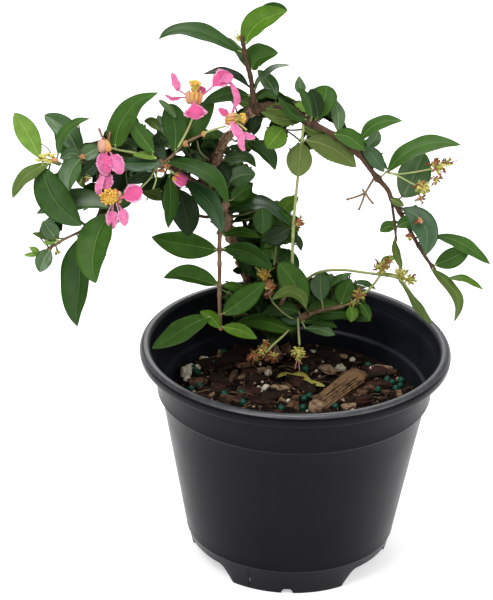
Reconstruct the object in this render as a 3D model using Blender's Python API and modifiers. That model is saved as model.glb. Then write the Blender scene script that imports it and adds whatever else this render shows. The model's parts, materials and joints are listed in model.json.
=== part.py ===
"""Potted Barbados cherry: a small leaning shrub in a round black nursery pot.

Metres, +Z up.  The origin is the centre of the flat underside, on the ground.
+X is to the right of the usual front view and -Y is towards the viewer.
Every limb is one tapering tube along a smooth route, and every mass of leaves
is one closed uneven solid that reaches out to the tips of its own leaves.
"""

import math

import bmesh
import bpy
from mathutils import Matrix, Vector, noise

# ------------------------------------------------------------------ sizes
MM = 0.001
GAP = 0.35 * MM            # clearance kept between touching pieces

POT_HEIGHT = 115.5 * MM
POT_WALL = 1.3 * MM
POT_STEPS = 36             # facets round the pot
FOOT_RADIUS = 49.0 * MM    # outside of the skirt on the ground
FLOOR_UNDER = 10.0 * MM    # underside of the floor
FLOOR_TOP = 11.5 * MM
SKIRT_TOP = 14.0 * MM      # small step above the skirt
LEDGE = 89.6 * MM          # the step that nested pots hang on
LIP_RADIUS = 77.5 * MM
LIP_INNER = 72.1 * MM
LIP_DROP = 6.2 * MM
BOSS_RADIUS = 8.0 * MM     # round boss under the middle of the floor
NOTCH_HALF_ANGLE = 26.5    # degrees, the three arched drain notches
NOTCH_HEIGHT = 9.0 * MM
FOOT_NOTCH_WIDTH = 6.0 * MM
FOOT_NOTCH_HEIGHT = 2.5 * MM
DRAIN_RADIUS = 5.0 * MM
DRAIN_AT = 40.0 * MM

SOIL_TOP = 84.0 * MM

LIMB_STEP = 9.0 * MM       # length of one facet along a limb
SEED = 7.3                 # offset of the noise that makes the masses uneven
UNEVEN = 0.16

COLLECTION = "potted_barbados_cherry"

# -------------------------------------------------------------- plant plan
# A limb: its route in millimetres, radius at its foot and at its end (mm),
# number of sides (bevel resolution 1 is six sides, 2 is eight).
TRUNK_FOOT = (-9.6, 46.0, 84.35)
FORK = (-37.7, 22.0, 178.7)
TOP_FORK = (-24.8, 12.0, 235.3)
LEFT_NODE = (-66.8, -6.0, 213.5)
ARCH_BEND = (22.6, 0.0, 223.2)
ARCH_DROP = (43.8, -7.0, 199.6)

LIMBS = [
    ("trunk", 2.35, 1.95, 2, [TRUNK_FOOT, (-12.6, 44.6, 93.0), (-17.5, 42.0, 108.0),
                              (-22.9, 38.0, 124.6), (-28.8, 33.0, 143.6),
                              (-34.0, 28.0, 160.2), FORK]),
    ("bough_upper", 1.9, 1.55, 2, [FORK, (-40.9, 22.0, 190.5), (-42.5, 20.0, 203.2),
                                   (-38.7, 18.0, 214.9), (-32.0, 15.0, 224.3), TOP_FORK]),
    ("leader", 1.3, 0.85, 1, [TOP_FORK, (-24.6, 12.0, 244.2), (-26.2, 11.0, 253.9),
                              (-28.8, 10.0, 265.0), (-30.4, 8.0, 274.9)]),
    ("arch_rising", 1.5, 1.3, 1, [TOP_FORK, (-15.7, 11.0, 238.1), (-6.4, 9.0, 237.2),
                                  (2.0, 7.0, 232.6), (13.7, 3.0, 228.4), ARCH_BEND]),
    ("arch_falling", 1.3, 1.15, 1, [ARCH_BEND, (28.6, -2.0, 218.5), (35.1, -4.0, 210.7),
                                    (41.7, -6.0, 203.9), ARCH_DROP]),
    ("arch_tip", 1.15, 0.75, 1, [ARCH_DROP, (50.5, -9.0, 189.6), (55.2, -10.0, 181.2),
                                 (61.0, -12.0, 172.2), (66.5, -13.2, 165.0)]),
    ("arch_twig", 0.75, 0.6, 1, [(44.0, -7.2, 199.0), (45.6, -8.6, 190.0), (46.3, -9.0, 186.3),
                                 (47.1, -11.0, 178.7)]),
    ("bough_left", 1.6, 1.2, 1, [FORK, (-42.6, 16.0, 189.4), (-47.9, 10.0, 197.8),
                                 (-54.1, 4.0, 205.0), (-60.6, -2.0, 211.1), LEFT_NODE]),
    ("bough_left_outer", 1.1, 0.8, 1, [(-71.5, -7.0, 213.4), (-80.0, -8.5, 212.2),
                                       (-89.6, -10.0, 211.2), (-99.1, -12.0, 214.0),
                                       (-112.0, -12.5, 215.9)]),
    ("twig_left_low", 0.8, 0.55, 1, [(-96.0, -15.5, 203.0), (-100.0, -22.0, 196.0),
                                     (-106.0, -28.0, 190.5), (-117.5, -29.5, 182.0)]),
    ("hanging_twig", 1.1, 0.85, 1, [(-38.2, 20.5, 173.5), (-40.0, 14.5, 166.5),
                                    (-39.7, 11.0, 149.3), (-39.3, 9.0, 133.7),
                                    (-37.9, 6.0, 119.6)]),
    ("low_branch", 1.2, 0.75, 1, [(-12.6, 44.6, 93.0), (-6.0, 33.0, 107.5), (0.9, 20.0, 119.1),
                                  (11.3, 22.0, 123.0), (21.8, 24.0, 124.7), (28.8, 24.0, 128.3)]),
    ("basal_stem", 1.1, 0.9, 1, [(-17.5, 42.0, 108.0), (-13.0, 33.0, 115.0), (-8.0, 22.0, 127.0),
                                 (-4.5, 15.0, 140.0), (-2.9, 12.0, 150.2)]),
    ("upright_stem", 0.75, 0.65, 1, [(-2.9, 12.0, 151.2), (-2.9, 10.0, 175.7), (-1.5, 8.0, 203.0),
                                     (-0.1, 7.0, 222.0), (0.1, 6.2, 230.5)]),
    ("arc_stem", 0.75, 0.65, 1, [(-4.6, 35.0, 120.5), (3.8, 28.0, 136.6), (11.1, 26.0, 142.9),
                                 (22.1, 24.0, 145.4), (35.0, 20.0, 146.1), (48.0, 14.5, 147.2)]),
    ("arc_stem_end", 0.7, 0.55, 1, [(51.5, 12.5, 146.3), (57.0, 11.0, 139.5), (62.5, 10.0, 132.0)]),
    ("bough_back", 1.25, 0.9, 1, [(-28.8, 33.0, 143.6), (-27.0, 42.0, 156.0), (-30.0, 45.0, 170.0)]),
    ("twig_back_low", 0.9, 0.7, 1, [(-19.5, 40.5, 113.0), (-17.0, 46.5, 119.0), (-14.5, 51.0, 127.0)]),
    ("twig_back_right", 0.8, 0.6, 1, [(-6.4, 9.0, 237.2), (0.0, 17.0, 234.0), (8.0, 27.0, 227.0)]),
    ("twig_back_left", 0.8, 0.6, 1, [(-60.6, -2.0, 211.1), (-67.0, 10.0, 208.0), (-75.0, 24.0, 202.0)]),
]

# A mass of leaves: centre (mm), core radius (mm), and the leaves that reach
# furthest from it as (heading in degrees from +X towards +Y, rise in degrees,
# length in mm).
MASSES = [
    ("leaves_left_tip", (-120, -13, 215), 11,
     [(-177, 55, 31), (133, 73, 23), (9, 51, 28), (-160, -40, 26), (-25, -61, 34), (89, -11, 30)]),
    ("leaves_left_inner", (-101, -8, 211), 9,
     [(-144, -35, 17), (145, -49, 26), (77, 2, 18), (-77, -18, 15), (70, -30, 30)]),
    ("leaves_left_low", (-101, -32, 184), 9,
     [(-61, -71, 21), (180, -82, 48), (13, 56, 17), (103, -20, 24)]),
    ("leaves_left_low_tip", (-123, -30, 179), 6,
     [(180, -28, 12), (153, 69, 13), (-114, -80, 13), (0, 22, 13)]),
    ("leaves_left_arch", (-82, -6, 219), 11,
     [(10, 69, 32), (-168, 62, 21), (97, 57, 20), (180, -72, 21), (-120, -44, 30), (91, -38, 30)]),
    ("leaves_node_upper", (-57, 2, 225), 10,
     [(-8, 55, 27), (162, 49, 20), (-87, 74, 36), (-32, 57, 42), (66, -19, 24)]),
    ("leaves_node_lower", (-55, -14, 201), 11,
     [(-142, -58, 20), (0, -84, 23), (-26, 0, 24), (-161, 32, 22), (83, -27, 32)]),
    ("leaves_top_left", (-47, 6, 274), 6, [(-170, 1, 25), (180, 38, 12), (7, -22, 16)]),
    ("leaves_top", (-22, 8, 279), 8, [(0, 36, 17), (-151, 45, 12), (37, 60, 13), (-166, -43, 11)]),
    ("leaves_top_right", (-17, 14, 252), 8,
     [(-29, 72, 13), (-32, 38, 15), (26, -68, 12), (180, -44, 8), (104, -30, 24)]),
    ("leaves_top_inner", (-37, 14, 244), 6, [(-171, 35, 16), (166, -32, 10), (-12, 1, 9)]),
    ("leaves_arch_start", (1, 8, 241), 11,
     [(-134, 71, 18), (-10, 44, 16), (7, 8, 17), (175, 4, 21), (169, -22, 22), (83, -15, 24)]),
    ("leaves_arch_under_left", (-7, 8, 219), 8,
     [(-169, 0, 12), (-37, -65, 17), (142, 53, 11), (87, -29, 18)]),
    ("leaves_arch_under_right", (17, 2, 219), 8,
     [(-24, -35, 13), (-168, 51, 15), (19, 33, 15), (86, -9, 22)]),
    ("leaves_arch_crest", (37, 0, 230), 8,
     [(-11, 39, 14), (167, -26, 10), (54, -77, 22), (122, 72, 8)]),
    ("leaves_right_upper", (56, -6, 215), 9,
     [(0, 34, 25), (-18, 20, 22), (-72, -65, 15), (137, -57, 20), (131, 16, 14), (68, 64, 15)]),
    ("leaves_right_mid", (56, -8, 182), 8,
     [(-17, -60, 13), (180, 67, 14), (-167, 11, 17), (0, -15, 11), (155, -78, 22), (91, -16, 24)]),
    ("leaves_right_tip", (74, -22, 172), 8,
     [(-6, 11, 20), (-14, -30, 21), (0, -81, 31), (48, 56, 14), (93, -20, 20)]),
    ("leaves_right_low", (55, 8, 144), 5, [(9, -58, 24), (180, 54, 12)]),
    ("leaves_centre_upper", (-30, 6, 202), 10,
     [(-13, 21, 20), (172, 44, 18), (-36, -47, 16), (121, -61, 19)]),
    ("leaves_centre", (-18, -3, 174.5), 13,
     [(-12, 31, 22), (180, 33, 22), (174, -24, 19), (7, -47, 26), (-92, 67, 26), (-81, -18, 19)]),
    ("leaves_hanging_upper", (-55, -5, 171), 7, [(-160, 13, 19), (45, -20, 20), (180, 58, 8), (-95, -70, 9)]),
    ("leaves_hanging_middle", (-53, -7, 154), 6, [(-165, -3, 15), (45, -25, 18), (180, 72, 7)]),
    ("leaves_hanging_low", (-54, -2, 122), 7, [(-161, -12, 20), (26, 28, 16), (20, -11, 16)]),
    ("leaves_centre_low", (-14, 18, 123), 13,
     [(-100, 68, 22), (-165, 4, 22), (-165, -23, 17), (-28, 81, 28), (-7, -18, 36), (-115, -34, 17),
      (-26, -24, 20)]),
    ("leaves_low_right", (21, 24, 127), 8,
     [(168, 57, 17), (-24, 71, 15), (-12, 27, 22), (-21, -23, 18), (-68, -37, 12)]),
    ("leaves_back_low", (-13, 54, 135), 14, [(-175, -24, 28), (44, -17, 22), (153, 46, 19), (105, -30, 26)]),
    ("leaves_back_middle", (-31, 46, 177), 12, [(-162, 40, 22), (33, -42, 20), (111, -30, 24), (74, 25, 16)]),
    ("leaves_back_right", (13, 34, 221), 9, [(139, 13, 13), (28, -40, 17), (89, -35, 22)]),
    ("leaves_back_left", (-80, 32, 199), 9, [(140, -17, 14), (32, 16, 13), (87, -39, 22)]),
]
FINE_MASSES = {"leaves_left_tip", "leaves_left_arch", "leaves_arch_start", "leaves_right_upper",
               "leaves_right_tip", "leaves_centre_low"}

# Colours in linear RGB.
FINISHES = {
    "pot": ((0.018, 0.018, 0.022), 0.42),
    "soil": ((0.030, 0.018, 0.012), 0.95),
    "bark": ((0.150, 0.085, 0.055), 0.85),
    "red_bark": ((0.130, 0.060, 0.045), 0.80),
    "green_stem": ((0.330, 0.360, 0.130), 0.60),
    "leaf": ((0.040, 0.135, 0.025), 0.45),
}
GREEN_STEMS = {"upright_stem", "arc_stem", "arc_stem_end", "twig_left_low"}
RED_STEMS = {"arch_rising", "arch_falling", "arch_tip", "arch_twig", "hanging_twig", "low_branch"}


# ------------------------------------------------------------------ helpers
def clear_scene():
    for obj in list(bpy.data.objects):
        bpy.data.objects.remove(obj, do_unlink=True)


def new_collection(name, hidden=False):
    made = bpy.data.collections.new(name)
    bpy.context.scene.collection.children.link(made)
    made.hide_render = hidden
    return made


def finish(name, kind):
    colour, roughness = FINISHES[kind]
    material = bpy.data.materials.new(name)
    material.use_nodes = True
    shader = material.node_tree.nodes["Principled BSDF"]
    shader.inputs["Base Color"].default_value = (*colour, 1.0)
    shader.inputs["Roughness"].default_value = roughness
    shader.inputs["Metallic"].default_value = 0.0
    material.diffuse_color = (*colour, 1.0)
    return material


def add_object(name, mesh, collection, kind=None):
    obj = bpy.data.objects.new(name, mesh)
    collection.objects.link(obj)
    if kind:
        mesh.materials.clear()
        mesh.materials.append(finish(name, kind))
    return obj


def evaluated_mesh(obj):
    bpy.context.view_layer.update()
    graph = bpy.context.evaluated_depsgraph_get()
    return bpy.data.meshes.new_from_object(obj.evaluated_get(graph))


def as_cutter(obj):
    obj.hide_render = True
    obj.display_type = "WIRE"
    return obj


def keep_largest_piece(mesh):
    """Leaves the biggest of the separate shells that a cut may make."""
    bm = bmesh.new()
    bm.from_mesh(mesh)
    bmesh.ops.remove_doubles(bm, verts=bm.verts, dist=1e-7)
    left = set(bm.verts)
    shells = []
    while left:
        stack = [left.pop()]
        shell = set(stack)
        while stack:
            for edge in stack.pop().link_edges:
                for vert in edge.verts:
                    if vert in left:
                        left.discard(vert)
                        shell.add(vert)
                        stack.append(vert)
        shells.append(shell)

    def spread(shell):
        faces = {face for vert in shell for face in vert.link_faces}
        return abs(sum(face.calc_area() * face.normal.dot(face.calc_center_median()) for face in faces))

    shells.sort(key=spread, reverse=True)
    for shell in shells[1:]:
        bmesh.ops.delete(bm, geom=list(shell), context="VERTS")
    bmesh.ops.dissolve_degenerate(bm, dist=1e-6, edges=bm.edges)
    bmesh.ops.triangulate(bm, faces=bm.faces)
    bm.to_mesh(mesh)
    bm.free()


def boxes_meet(a, b, margin=0.0005):
    def span(obj):
        corners = [obj.matrix_world @ Vector(c) for c in obj.bound_box]
        return [(min(c[i] for c in corners), max(c[i] for c in corners)) for i in range(3)]

    return all(lo_a - margin < hi_b and lo_b - margin < hi_a
               for (lo_a, hi_a), (lo_b, hi_b) in zip(span(a), span(b)))


def cut_with(obj, cutters):
    """Takes the cutters out of obj and keeps its main piece."""
    used = [cutter for cutter in cutters if boxes_meet(obj, cutter)]
    if not used:
        return
    for cutter in used:
        boolean = obj.modifiers.new("cut_" + cutter.name, "BOOLEAN")
        boolean.operation = "DIFFERENCE"
        boolean.solver = "EXACT"
        boolean.object = cutter
    cut = evaluated_mesh(obj)
    obj.modifiers.clear()
    keep_largest_piece(cut)
    material = obj.data.materials[0] if obj.data.materials else None
    obj.data = cut
    if material:
        cut.materials.clear()
        cut.materials.append(material)


# ------------------------------------------------------------------ the pot
def wall_radius(z):
    """Outside radius of the pot's wall below the lip."""
    if z <= SKIRT_TOP:
        return FOOT_RADIUS + (52.0 * MM - FOOT_RADIUS) * z / SKIRT_TOP
    if z <= LEDGE:
        share = (z - SKIRT_TOP) / (LEDGE - SKIRT_TOP)
        return 52.5 * MM + (67.2 * MM - 52.5 * MM) * share
    share = (z - LEDGE) / (POT_HEIGHT - LEDGE)
    return 68.6 * MM + (72.4 * MM - 68.6 * MM) * share


def pot_profile():
    """The wall's section, from the floor inside, over the lip, to the middle underneath."""
    lip_low = POT_HEIGHT - LIP_DROP
    inner = [(0.0, FLOOR_TOP), (wall_radius(FLOOR_TOP) - 3.2 * MM, FLOOR_TOP),
             (wall_radius(13.5 * MM) - POT_WALL, 13.5 * MM),
             (wall_radius(LEDGE) - POT_WALL, LEDGE + 1.2 * MM),
             (wall_radius(LEDGE + 2.2 * MM) - POT_WALL, LEDGE + 2.2 * MM),
             (wall_radius(lip_low) - POT_WALL, lip_low + 1.0 * MM),
             (LIP_INNER, POT_HEIGHT - 1.3 * MM), (LIP_INNER + 1.2 * MM, POT_HEIGHT)]
    lip = [(LIP_RADIUS - 2.3 * MM, POT_HEIGHT), (LIP_RADIUS - 0.8 * MM, POT_HEIGHT - 1.0 * MM),
           (LIP_RADIUS, POT_HEIGHT - 3.0 * MM), (LIP_RADIUS - 0.5 * MM, lip_low),
           (LIP_RADIUS - 1.8 * MM, lip_low), (LIP_RADIUS - 2.0 * MM, POT_HEIGHT - 2.0 * MM),
           (wall_radius(POT_HEIGHT - 2.0 * MM) + 0.3 * MM, POT_HEIGHT - 2.2 * MM)]
    outer = [(wall_radius(lip_low), lip_low), (wall_radius(LEDGE + 0.5 * MM), LEDGE + 0.5 * MM),
             (wall_radius(LEDGE), LEDGE), (wall_radius(SKIRT_TOP + 0.4 * MM), SKIRT_TOP + 0.4 * MM),
             (wall_radius(SKIRT_TOP), SKIRT_TOP), (wall_radius(0.0), 0.0)]
    under = [(wall_radius(0.0) - POT_WALL, 0.0), (wall_radius(FLOOR_UNDER) - POT_WALL, FLOOR_UNDER),
             (BOSS_RADIUS + 0.3 * MM, FLOOR_UNDER), (BOSS_RADIUS, 0.0), (0.0, 0.0)]
    return inner + lip + outer + under


def turned(name, profile, steps, collection, kind=None):
    mesh = bpy.data.meshes.new(name)
    mesh.from_pydata([(r, 0.0, z) for r, z in profile],
                     [(i, i + 1) for i in range(len(profile) - 1)], [])
    obj = add_object(name, mesh, collection)
    screw = obj.modifiers.new("turn", "SCREW")
    screw.axis = "Z"
    screw.angle = math.tau
    screw.steps = steps
    screw.render_steps = steps
    screw.use_merge_vertices = True
    screw.merge_threshold = 0.00002
    solid = evaluated_mesh(obj)
    obj.modifiers.clear()
    bm = bmesh.new()
    bm.from_mesh(solid)
    bmesh.ops.remove_doubles(bm, verts=bm.verts, dist=1e-6)
    bmesh.ops.recalc_face_normals(bm, faces=bm.faces)
    bm.to_mesh(solid)
    bm.free()
    obj.data = solid
    if kind:
        solid.materials.append(finish(name, kind))
    solid.shade_smooth()
    solid.set_sharp_from_angle(angle=math.radians(28))
    return obj


def arch_cutter(name, width, height, r_from, r_to, heading, collection, lean):
    """A short tunnel with sloping sides, run outwards through the skirt."""
    curve = bpy.data.curves.new(name, "CURVE")
    curve.dimensions = "2D"
    curve.fill_mode = "BOTH"
    curve.extrude = (r_to - r_from) / 2
    half = width / 2
    outline = [(-half, -1.5 * MM), (half, -1.5 * MM), (half - 0.05 * lean, 0.0),
               (half - 0.55 * lean, 0.72 * height), (half - lean, height),
               (-half + lean, height), (-half + 0.55 * lean, 0.72 * height), (-half + 0.05 * lean, 0.0)]
    spline = curve.splines.new("POLY")
    spline.points.add(len(outline) - 1)
    for point, (x, y) in zip(spline.points, outline):
        point.co = (x, y, 0.0, 1.0)
    spline.use_cyclic_u = True
    obj = add_object(name + "_curve", curve, collection)
    middle = (r_from + r_to) / 2
    obj.matrix_world = (Matrix.Rotation(math.radians(heading), 4, "Z")
                        @ Matrix.Translation((middle, 0.0, 0.0))
                        @ Matrix.Rotation(math.radians(90), 4, "Z")
                        @ Matrix.Rotation(math.radians(90), 4, "X"))
    solid = evaluated_mesh(obj)
    solid.transform(obj.matrix_world)
    bpy.data.objects.remove(obj, do_unlink=True)
    bm = bmesh.new()
    bm.from_mesh(solid)
    bmesh.ops.remove_doubles(bm, verts=bm.verts, dist=1e-6)
    bmesh.ops.recalc_face_normals(bm, faces=bm.faces)
    bm.to_mesh(solid)
    bm.free()
    return as_cutter(add_object(name, solid, collection))


def make_pot(parts, cutters):
    pot = turned("pot", pot_profile(), POT_STEPS, parts, "pot")
    tools = []
    big = 2 * FOOT_RADIUS * math.sin(math.radians(NOTCH_HALF_ANGLE))
    for third in range(3):
        heading = 90 + 120 * third
        tools.append(arch_cutter(f"notch_{third}", big, NOTCH_HEIGHT, 38 * MM, 58 * MM,
                                 heading, cutters, 9.0 * MM))
        tools.append(arch_cutter(f"foot_notch_{third}", FOOT_NOTCH_WIDTH, FOOT_NOTCH_HEIGHT,
                                 44 * MM, 58 * MM, heading + 180, cutters, 1.2 * MM))
        bm = bmesh.new()
        bmesh.ops.create_cone(bm, cap_ends=True, segments=16, radius1=DRAIN_RADIUS,
                              radius2=DRAIN_RADIUS, depth=6 * MM)
        mesh = bpy.data.meshes.new(f"drain_{third}")
        bm.to_mesh(mesh)
        bm.free()
        angle = math.radians(heading)
        mesh.transform(Matrix.Translation((DRAIN_AT * math.cos(angle), DRAIN_AT * math.sin(angle),
                                           (FLOOR_UNDER + FLOOR_TOP) / 2)))
        tools.append(as_cutter(add_object(f"drain_{third}", mesh, cutters)))
    for tool in tools:
        boolean = pot.modifiers.new(tool.name, "BOOLEAN")
        boolean.operation = "DIFFERENCE"
        boolean.solver = "EXACT"
        boolean.object = tool
    return pot


def make_soil(parts):
    low = FLOOR_TOP + GAP
    profile = [(0.0, SOIL_TOP), (wall_radius(SOIL_TOP) - POT_WALL - 0.9 * MM, SOIL_TOP),
               (wall_radius(SOIL_TOP - 1.5 * MM) - POT_WALL - GAP - 0.1 * MM, SOIL_TOP - 1.5 * MM),
               (wall_radius(14.0 * MM) - POT_WALL - GAP - 0.1 * MM, 14.2 * MM),
               (wall_radius(FLOOR_TOP) - 3.9 * MM, low), (0.0, low)]
    return turned("soil", profile, POT_STEPS, parts, "soil")


# ---------------------------------------------------------------- the limbs
def smooth_route(nodes, step):
    """A Catmull-Rom curve through the nodes, with points about one step apart."""
    points = [Vector(node) * MM for node in nodes]
    ends = [2 * points[0] - points[1]] + points + [2 * points[-1] - points[-2]]
    route = []
    for a, b, c, d in zip(ends, ends[1:], ends[2:], ends[3:]):
        count = max(1, round((c - b).length / step))
        for i in range(count):
            t = i / count
            route.append(0.5 * (2 * b + (c - a) * t + (2 * a - 5 * b + 4 * c - d) * t * t
                                + (3 * b - a - 3 * c + d) * t ** 3))
    route.append(points[-1])
    return route


def tube(name, route, radii, resolution, collection, kind=None):
    """A curve with a round bevel and capped ends, made into a closed mesh."""
    curve = bpy.data.curves.new(name, "CURVE")
    curve.dimensions = "3D"
    curve.bevel_depth = 1.0
    curve.bevel_resolution = resolution
    curve.use_fill_caps = True
    curve.twist_mode = "MINIMUM"
    spline = curve.splines.new("POLY")
    spline.points.add(len(route) - 1)
    for point, at, radius in zip(spline.points, route, radii):
        point.co = (*at, 1.0)
        point.radius = radius
    obj = add_object(name + "_curve", curve, collection)
    mesh = evaluated_mesh(obj)
    mesh.transform(obj.matrix_world)
    bpy.data.objects.remove(obj, do_unlink=True)
    bm = bmesh.new()
    bm.from_mesh(mesh)
    bmesh.ops.remove_doubles(bm, verts=bm.verts, dist=1e-6)
    bmesh.ops.recalc_face_normals(bm, faces=bm.faces)
    bm.to_mesh(mesh)
    bm.free()
    mesh.name = name
    made = add_object(name, mesh, collection, kind)
    mesh.shade_smooth()
    return made


def limb_radii(name, route, foot, end):
    lengths = [0.0]
    for a, b in zip(route, route[1:]):
        lengths.append(lengths[-1] + (b - a).length)
    radii = []
    for length in lengths:
        share = length / lengths[-1]
        radius = foot + (end - foot) * share
        radius *= 1.0 + 0.07 * math.sin(9.0 * share + len(name))
        if name == "trunk":
            radius += 1.7 * math.exp(-length / (3.2 * MM))
        radii.append(radius * MM)
    return radii


def level_foot(obj, height):
    """Cuts the root flare off level with the soil."""
    bm = bmesh.new()
    bm.from_mesh(obj.data)
    result = bmesh.ops.bisect_plane(bm, geom=bm.verts[:] + bm.edges[:] + bm.faces[:], dist=1e-7,
                                    plane_co=(0, 0, height), plane_no=(0, 0, 1), clear_inner=True)
    rim = [item for item in result["geom_cut"] if isinstance(item, bmesh.types.BMEdge)]
    bmesh.ops.edgeloop_fill(bm, edges=rim)
    bmesh.ops.recalc_face_normals(bm, faces=bm.faces)
    bm.to_mesh(obj.data)
    bm.free()


def make_limbs(parts, cutters):
    limbs, fat_limbs = [], []
    for name, foot, end, resolution, nodes in LIMBS:
        route = smooth_route(nodes, LIMB_STEP)
        radii = limb_radii(name, route, foot, end)
        kind = "green_stem" if name in GREEN_STEMS else "red_bark" if name in RED_STEMS else "bark"
        if name == "trunk":
            down = (route[0] - route[1]).normalized()
            route[0] = route[0] + down * 3 * MM
        limb = tube(name, route, radii, resolution, parts, kind)
        if name == "trunk":
            level_foot(limb, SOIL_TOP + GAP)
        cut_with(limb, fat_limbs)
        start = (route[0] - route[1]).normalized() * GAP
        stop = (route[-1] - route[-2]).normalized() * GAP
        fat_route = [route[0] + start] + route[1:-1] + [route[-1] + stop]
        fat = tube("fat_" + name, fat_route, [radius * 1.06 + GAP for radius in radii],
                   resolution, cutters)
        fat_limbs.append(as_cutter(fat))
        limbs.append(limb)
    return limbs, fat_limbs


# ---------------------------------------------------------------- the masses
def direction(heading, rise):
    a, b = math.radians(heading), math.radians(rise)
    return Vector((math.cos(a) * math.cos(b), math.sin(a) * math.cos(b), math.sin(b)))


def reach(core, tips, way, index):
    """How far the mass goes out from its centre along a direction."""
    radius = core
    for tip_way, length in tips:
        cosine = max(-1.0, min(1.0, way.dot(tip_way)))
        angle = math.acos(cosine)
        width = math.atan2(0.42 * core + 2.6, 0.55 * length)
        radius = max(radius, core + (length - core) * math.exp(-((angle / width) ** 2)))
    place = way * 2.1 + Vector((index * 3.7, SEED, index * 1.3))
    return radius * (1.0 + UNEVEN * noise.noise(place))


def in_pot(point):
    radial = math.hypot(point.x, point.y)
    low = point.z < POT_HEIGHT + 1.4 * MM
    near_wall = radial > wall_radius(min(point.z, POT_HEIGHT)) - 3.2 * MM
    return (low and near_wall and radial < LIP_RADIUS + 2.0 * MM) or point.z < SOIL_TOP + 1.5 * MM


def make_mass(index, name, centre, core, tips, parts):
    middle = Vector(centre) * MM
    leads = [(direction(heading, rise), length) for heading, rise, length in tips]
    others = []
    for other_name, other_centre, other_core, _ in MASSES:
        if other_name == name:
            continue
        between = Vector(other_centre) * MM - middle
        distance = between.length
        split = (distance ** 2 + (core ** 2 - other_core ** 2) * MM ** 2) / (2 * distance)
        others.append((between.normalized(), split - 0.5 * GAP - 0.05 * MM))
    bm = bmesh.new()
    if name in FINE_MASSES:
        bmesh.ops.create_icosphere(bm, subdivisions=3, radius=1.0)
    else:
        bmesh.ops.create_uvsphere(bm, u_segments=10, v_segments=8, radius=1.0)
    ways = {vert: vert.co.normalized() for vert in bm.verts}
    for lead, _ in leads:  # one corner of the surface is drawn out to each tip
        nearest = max(ways, key=lambda vert: ways[vert].dot(lead))
        ways[nearest] = lead
    for vert, way in ways.items():
        radius = reach(core, leads, way, index) * MM
        for towards, split in others:
            facing = way.dot(towards)
            if facing > 1e-6 and radius * facing > split:
                radius = split / facing
        while radius > 1.0 * MM and in_pot(middle + way * radius):
            radius *= 0.96
        vert.co = middle + way * radius
    bmesh.ops.recalc_face_normals(bm, faces=bm.faces)
    bmesh.ops.triangulate(bm, faces=bm.faces)
    mesh = bpy.data.meshes.new(name)
    bm.to_mesh(mesh)
    bm.free()
    return add_object(name, mesh, parts, "leaf")


def main():
    clear_scene()
    parts = new_collection(COLLECTION)
    cutters = new_collection("cutters", hidden=True)
    make_pot(parts, cutters)
    make_soil(parts)
    _, fat_limbs = make_limbs(parts, cutters)
    for index, (name, centre, core, tips) in enumerate(MASSES):
        mass = make_mass(index, name, centre, core, tips, parts)
        cut_with(mass, fat_limbs)


main()
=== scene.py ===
"""Looks for the potted Barbados cherry: leaves, blossom, bark, potting mix and the moulded pot.

Everything is in the shared frame, in metres.  Lengths in the tables are in
millimetres, and places in the reference view are in its 493 x 600 frame; a
place there is put at a depth taken from the limb that carries it.
"""

import json
import math

import bmesh
import bpy
import numpy as np
from mathutils import Matrix, Vector, noise

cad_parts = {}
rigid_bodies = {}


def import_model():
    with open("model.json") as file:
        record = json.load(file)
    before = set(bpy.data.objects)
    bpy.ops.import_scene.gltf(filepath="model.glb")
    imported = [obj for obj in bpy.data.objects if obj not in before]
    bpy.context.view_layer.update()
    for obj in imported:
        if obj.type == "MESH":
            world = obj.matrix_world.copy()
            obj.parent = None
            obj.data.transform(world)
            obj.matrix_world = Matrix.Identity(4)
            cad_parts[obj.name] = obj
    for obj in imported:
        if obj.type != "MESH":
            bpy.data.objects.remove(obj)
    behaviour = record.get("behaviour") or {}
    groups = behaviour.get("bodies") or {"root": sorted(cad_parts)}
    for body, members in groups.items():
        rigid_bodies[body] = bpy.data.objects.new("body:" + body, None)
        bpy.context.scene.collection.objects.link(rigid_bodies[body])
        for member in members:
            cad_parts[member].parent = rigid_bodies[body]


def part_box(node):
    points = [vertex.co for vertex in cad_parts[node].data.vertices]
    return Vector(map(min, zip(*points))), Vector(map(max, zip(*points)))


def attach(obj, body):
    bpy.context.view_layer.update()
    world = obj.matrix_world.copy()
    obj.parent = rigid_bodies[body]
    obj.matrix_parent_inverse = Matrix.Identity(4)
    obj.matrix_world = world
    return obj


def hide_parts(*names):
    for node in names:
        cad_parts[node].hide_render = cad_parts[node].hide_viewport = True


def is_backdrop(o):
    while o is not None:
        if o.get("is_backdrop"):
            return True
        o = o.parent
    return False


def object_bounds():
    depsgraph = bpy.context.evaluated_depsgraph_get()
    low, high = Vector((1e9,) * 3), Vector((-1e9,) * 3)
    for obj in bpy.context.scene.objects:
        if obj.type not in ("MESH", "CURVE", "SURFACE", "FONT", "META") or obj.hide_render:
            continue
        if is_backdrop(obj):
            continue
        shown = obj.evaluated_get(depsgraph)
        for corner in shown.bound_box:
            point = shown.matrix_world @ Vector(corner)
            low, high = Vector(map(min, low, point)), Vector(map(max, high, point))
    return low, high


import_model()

CAD_LO, CAD_HI = (tuple(v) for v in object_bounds())
MM = 0.001
RNG = np.random.default_rng(20261)

# ------------------------------------------------------------------ the view
WIDE, HIGH = 493, 600
DISTANCE, RISE, FOCAL, TURN, DIP, ROLL = 1.47875, 0.47096, 2967.5, -0.0189, 0.01407, 0.02567
EYE = np.array([0.0, -DISTANCE * math.cos(RISE), 0.11557 + DISTANCE * math.sin(RISE)])
_pitch = -RISE + DIP
AHEAD = np.array([math.sin(TURN) * math.cos(_pitch), math.cos(TURN) * math.cos(_pitch), math.sin(_pitch)])
_right = np.cross(AHEAD, [0.0, 0.0, 1.0])
_right /= np.linalg.norm(_right)
_up = np.cross(_right, AHEAD)
RIGHT = math.cos(ROLL) * _right + math.sin(ROLL) * _up
UP = -math.sin(ROLL) * _right + math.cos(ROLL) * _up


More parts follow.
